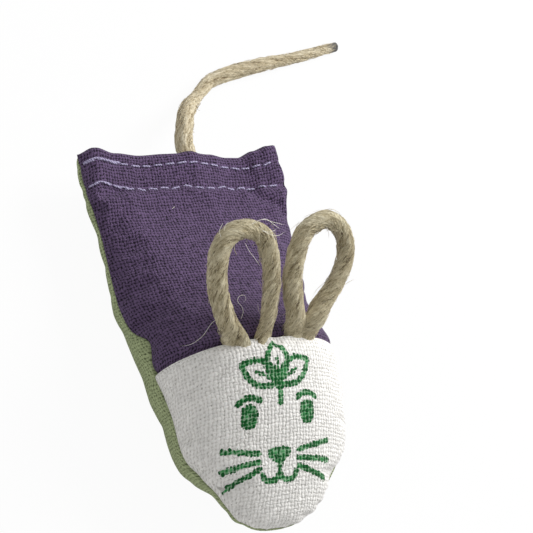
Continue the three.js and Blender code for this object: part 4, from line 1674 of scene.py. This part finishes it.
class MOUSE_OT_fibres(bpy.types.Operator):
    """Lays the loose jute fibres on the cloth and on the left ear"""

    bl_idname = "mouse.fibres"
    bl_label = "Loose Fibres"

    def execute(self, context):
        back = bpy.data.objects["back_cloth"]
        tree = BVHTree.FromObject(back, context.evaluated_depsgraph_get())
        rope = context.scene.mouse.rope
        pale = jute("pale_fibre", rope.light, *PALE_FIBRE, rope.tip, PALE_RELIEF)
        hinge = HINGES["ear_left"]
        upright = Vector((0, -math.sin(EAR_LEAN), math.cos(EAR_LEAN)))

        def on_cloth(x, y, lift):
            """Where a pixel's ray meets the back, so far over the cloth."""
            eye, ray = pixel_ray(x, y)
            hit, normal, _, _ = tree.ray_cast(eye, ray)
            if hit is None:
                raise RuntimeError(f"the fibre at {x}, {y} misses the cloth")
            return hit + normal * lift * MM

        def on_ear(x, y, lift):
            """Where a pixel's ray meets the plane of the left ear's loop, so far over it."""
            eye, ray = pixel_ray(x, y)
            height = (hinge - eye).dot(upright) + lift * MM
            return eye + ray * (height / ray.dot(upright))

        groups = (("loose_fibres", CLOTH_FIBRES, on_cloth), ("ear_strands", EAR_FIBRES, on_ear))
        for name, lists, place in groups:
            fibres = []
            for number, fibre in enumerate(lists):
                points = [place(*point) for point in fibre]
                fibres.append((points, LOOSE_FIBRE_RADIUS, LOOSE_FIBRE_TONE * number))
            piece = fibre_tubes(name, fibres, pale, LOOSE_FIBRE_RINGS)
            if place is on_cloth:
                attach(piece, "pouch")
            else:
                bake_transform(piece)
        return {"FINISHED"}


# Colours of what is sewn in: light and shade, or leaf, stem and dust
SEAM_COLOURS = (srgb(222, 222, 218), srgb(160, 160, 156))
WADDING_COLOURS = (srgb(240, 238, 232), srgb(198, 196, 190))
HERB_COLOURS = (srgb(122, 128, 76), srgb(158, 146, 98), srgb(176, 172, 120))


class MOUSE_OT_inside(bpy.types.Operator):
    """Gives the sewn-in rope ends, the seam threads and the filling their materials"""

    bl_idname = "mouse.inside"
    bl_label = "Inside"

    def execute(self, context):
        rope = context.scene.mouse.rope
        finishes = {
            "_end": rope_ends("sewn_in_rope", rope.dark, rope.middle),
            "seam_thread": thread("seam_thread", *SEAM_COLOURS),
            "stuffing": wadding("wadding", *WADDING_COLOURS),
            "catnip": herb("dried_herb", *HERB_COLOURS),
        }
        for name, node in frame["nodes"].items():
            for word, material in finishes.items():
                if word in name:
                    for place in node.material_slots:
                        place.material = material
        return {"FINISHED"}


# Stage. The lamps' sizes and places are in metres.

KEY_SIZE = 0.28
KEY_PLACE = Vector((0.36, 0.19, 0.34))
FILL_SIZE = 0.8
FILL_PLACE = Vector((-0.6, -0.45, 0.5))
FLOOR_HALF = 3
FLOOR_ROUGHNESS = 0.9
FLOOR_SHADE = srgb(232, 232, 232)
FLOOR_MOTTLE = 0.1
FLOOR_WHITE = 0.95
WHITE = (1, 1, 1, 1)
CLIP_START = 0.01
CLIP_END = 20


def mix_shaders(tree, share, first, second, output):
    """Feeds an output with two shaders, the second by the share."""
    mixer = tree.nodes.new("ShaderNodeMixShader")
    for place, socket in enumerate((share, first, second)):
        tree.links.new(socket, mixer.inputs[place])
    tree.links.new(mixer.outputs[0], output)


class MOUSE_OT_stage(bpy.types.Operator):
    """Sets the floor, the lamps, the even light and the camera"""

    bl_idname = "mouse.stage"
    bl_label = "Stage"

    def execute(self, context):
        stage = context.scene.mouse.stage
        scene = context.scene
        self.floor(stage)
        self.world(scene, stage)
        self.lamp(scene, "key_lamp", stage.key, KEY_SIZE, KEY_PLACE)
        self.lamp(scene, "fill_lamp", stage.fill, FILL_SIZE, FILL_PLACE)
        self.camera(scene)
        scene.view_settings.view_transform = "Standard"
        return {"FINISHED"}

    def floor(self, stage):
        bm = bmesh.new()
        bmesh.ops.create_grid(bm, x_segments=1, y_segments=1, size=FLOOR_HALF)
        finish = Finish("floor", FLOOR_ROUGHNESS)
        tree = finish.tree
        mottle = finish.noise(finish.objects(), 0.02, 2)
        finish.colour(finish.mix(mottle * FLOOR_MOTTLE, stage.floor, FLOOR_SHADE))
        white = tree.nodes.new("ShaderNodeEmission")
        seen = tree.nodes.new("ShaderNodeLightPath")
        rays = ("Is Camera Ray", "Is Glossy Ray", "Is Transmission Ray")
        direct, mirrored, through = [Wire(finish, seen.outputs[ray]) for ray in rays]
        share = direct.top(mirrored).top(through) * FLOOR_WHITE
        output = tree.nodes["Material Output"].inputs["Surface"]
        mix_shaders(tree, share.socket, finish.shader.outputs[0], white.outputs[0], output)
        link("floor", bm, finish.material)

    def world(self, scene, stage):
        world = bpy.data.worlds.new("even_light")
        world.use_nodes = True
        tree = world.node_tree
        soft = tree.nodes["Background"]
        white = tree.nodes.new("ShaderNodeBackground")
        for light, strength in ((soft, stage.sky), (white, 1)):
            light.inputs["Color"].default_value = WHITE
            light.inputs["Strength"].default_value = strength
        seen = tree.nodes.new("ShaderNodeLightPath").outputs["Is Camera Ray"]
        output = tree.nodes["World Output"].inputs["Surface"]
        mix_shaders(tree, seen, soft.outputs[0], white.outputs[0], output)
        scene.world = world

    def lamp(self, scene, name, power, size, place):
        """A square lamp that looks at the middle of the scene."""
        light = bpy.data.lights.new(name, "AREA")
        light.energy = power
        light.size = size
        lamp = bpy.data.objects.new(name, light)
        lamp.location = place
        lamp.rotation_euler = place.to_track_quat("Z", "Y").to_euler()
        scene.collection.objects.link(lamp)

    def camera(self, scene):
        """The fitted camera. It turns towards the middle of the photograph."""
        right, up, back = camera_axes()
        offset = [value / CAMERA_FOCAL_PX for value in CENTRE_OFFSET_PX]
        ahead = (-back + right * offset[0] + up * offset[1]).normalized()
        side = (right - ahead * right.dot(ahead)).normalized()
        over = side.cross(ahead)
        data = bpy.data.cameras.new("camera")
        data.sensor_width = SENSOR_WIDTH
        data.lens = CAMERA_FOCAL_PX / PHOTO_PX * SENSOR_WIDTH
        data.clip_start = CLIP_START
        data.clip_end = CLIP_END
        camera = bpy.data.objects.new("camera", data)
        camera.location = CAMERA_CENTRE + back * CAMERA_DISTANCE
        turned = side.to_track_quat("X", "Y").to_matrix()
        turned.col[0] = side
        turned.col[1] = over
        turned.col[2] = -ahead
        camera.rotation_euler = turned.to_euler()
        scene.collection.objects.link(camera)
        scene.camera = camera


class MOUSE_PT_parts(bpy.types.Panel):
    """Lists the settings and the operators in the sidebar"""

    bl_label = "Stuffed Mouse"
    bl_idname = "MOUSE_PT_parts"
    bl_space_type = "VIEW_3D"
    bl_region_type = "UI"
    bl_category = "Mouse"

    def draw(self, context):
        for group in ("cloth", "rope", "thread", "stage"):
            box = self.layout.box()
            box.label(text=group.capitalize())
            settings = getattr(context.scene.mouse, group)
            for name in settings.bl_rna.properties.keys():
                if name not in ("rna_type", "name"):
                    box.prop(settings, name)
        for operator in OPERATORS:
            self.layout.operator(operator.bl_idname)


SHARED = {}
SETTINGS = (
    MouseClothSettings, MouseRopeSettings, MouseThreadSettings, MouseStageSettings, MouseSettings,
)
OPERATORS = (
    MOUSE_OT_stage, MOUSE_OT_panels, MOUSE_OT_ears, MOUSE_OT_tail, MOUSE_OT_stitches,
    MOUSE_OT_fibres, MOUSE_OT_inside,
)
CLASSES = (*SETTINGS, *OPERATORS, MOUSE_PT_parts)


def register():
    for item in CLASSES:
        bpy.utils.register_class(item)
    bpy.types.Scene.mouse = PointerProperty(type=MouseSettings)


def unregister():
    del bpy.types.Scene.mouse
    for item in reversed(CLASSES):
        bpy.utils.unregister_class(item)


def main():
    register()
    bpy.ops.mouse.stage()
    bpy.ops.mouse.panels()
    bpy.ops.mouse.ears()
    bpy.ops.mouse.tail()
    bpy.ops.mouse.stitches()
    bpy.ops.mouse.fibres()
    bpy.ops.mouse.inside()


if __name__ == "__main__":
    main()
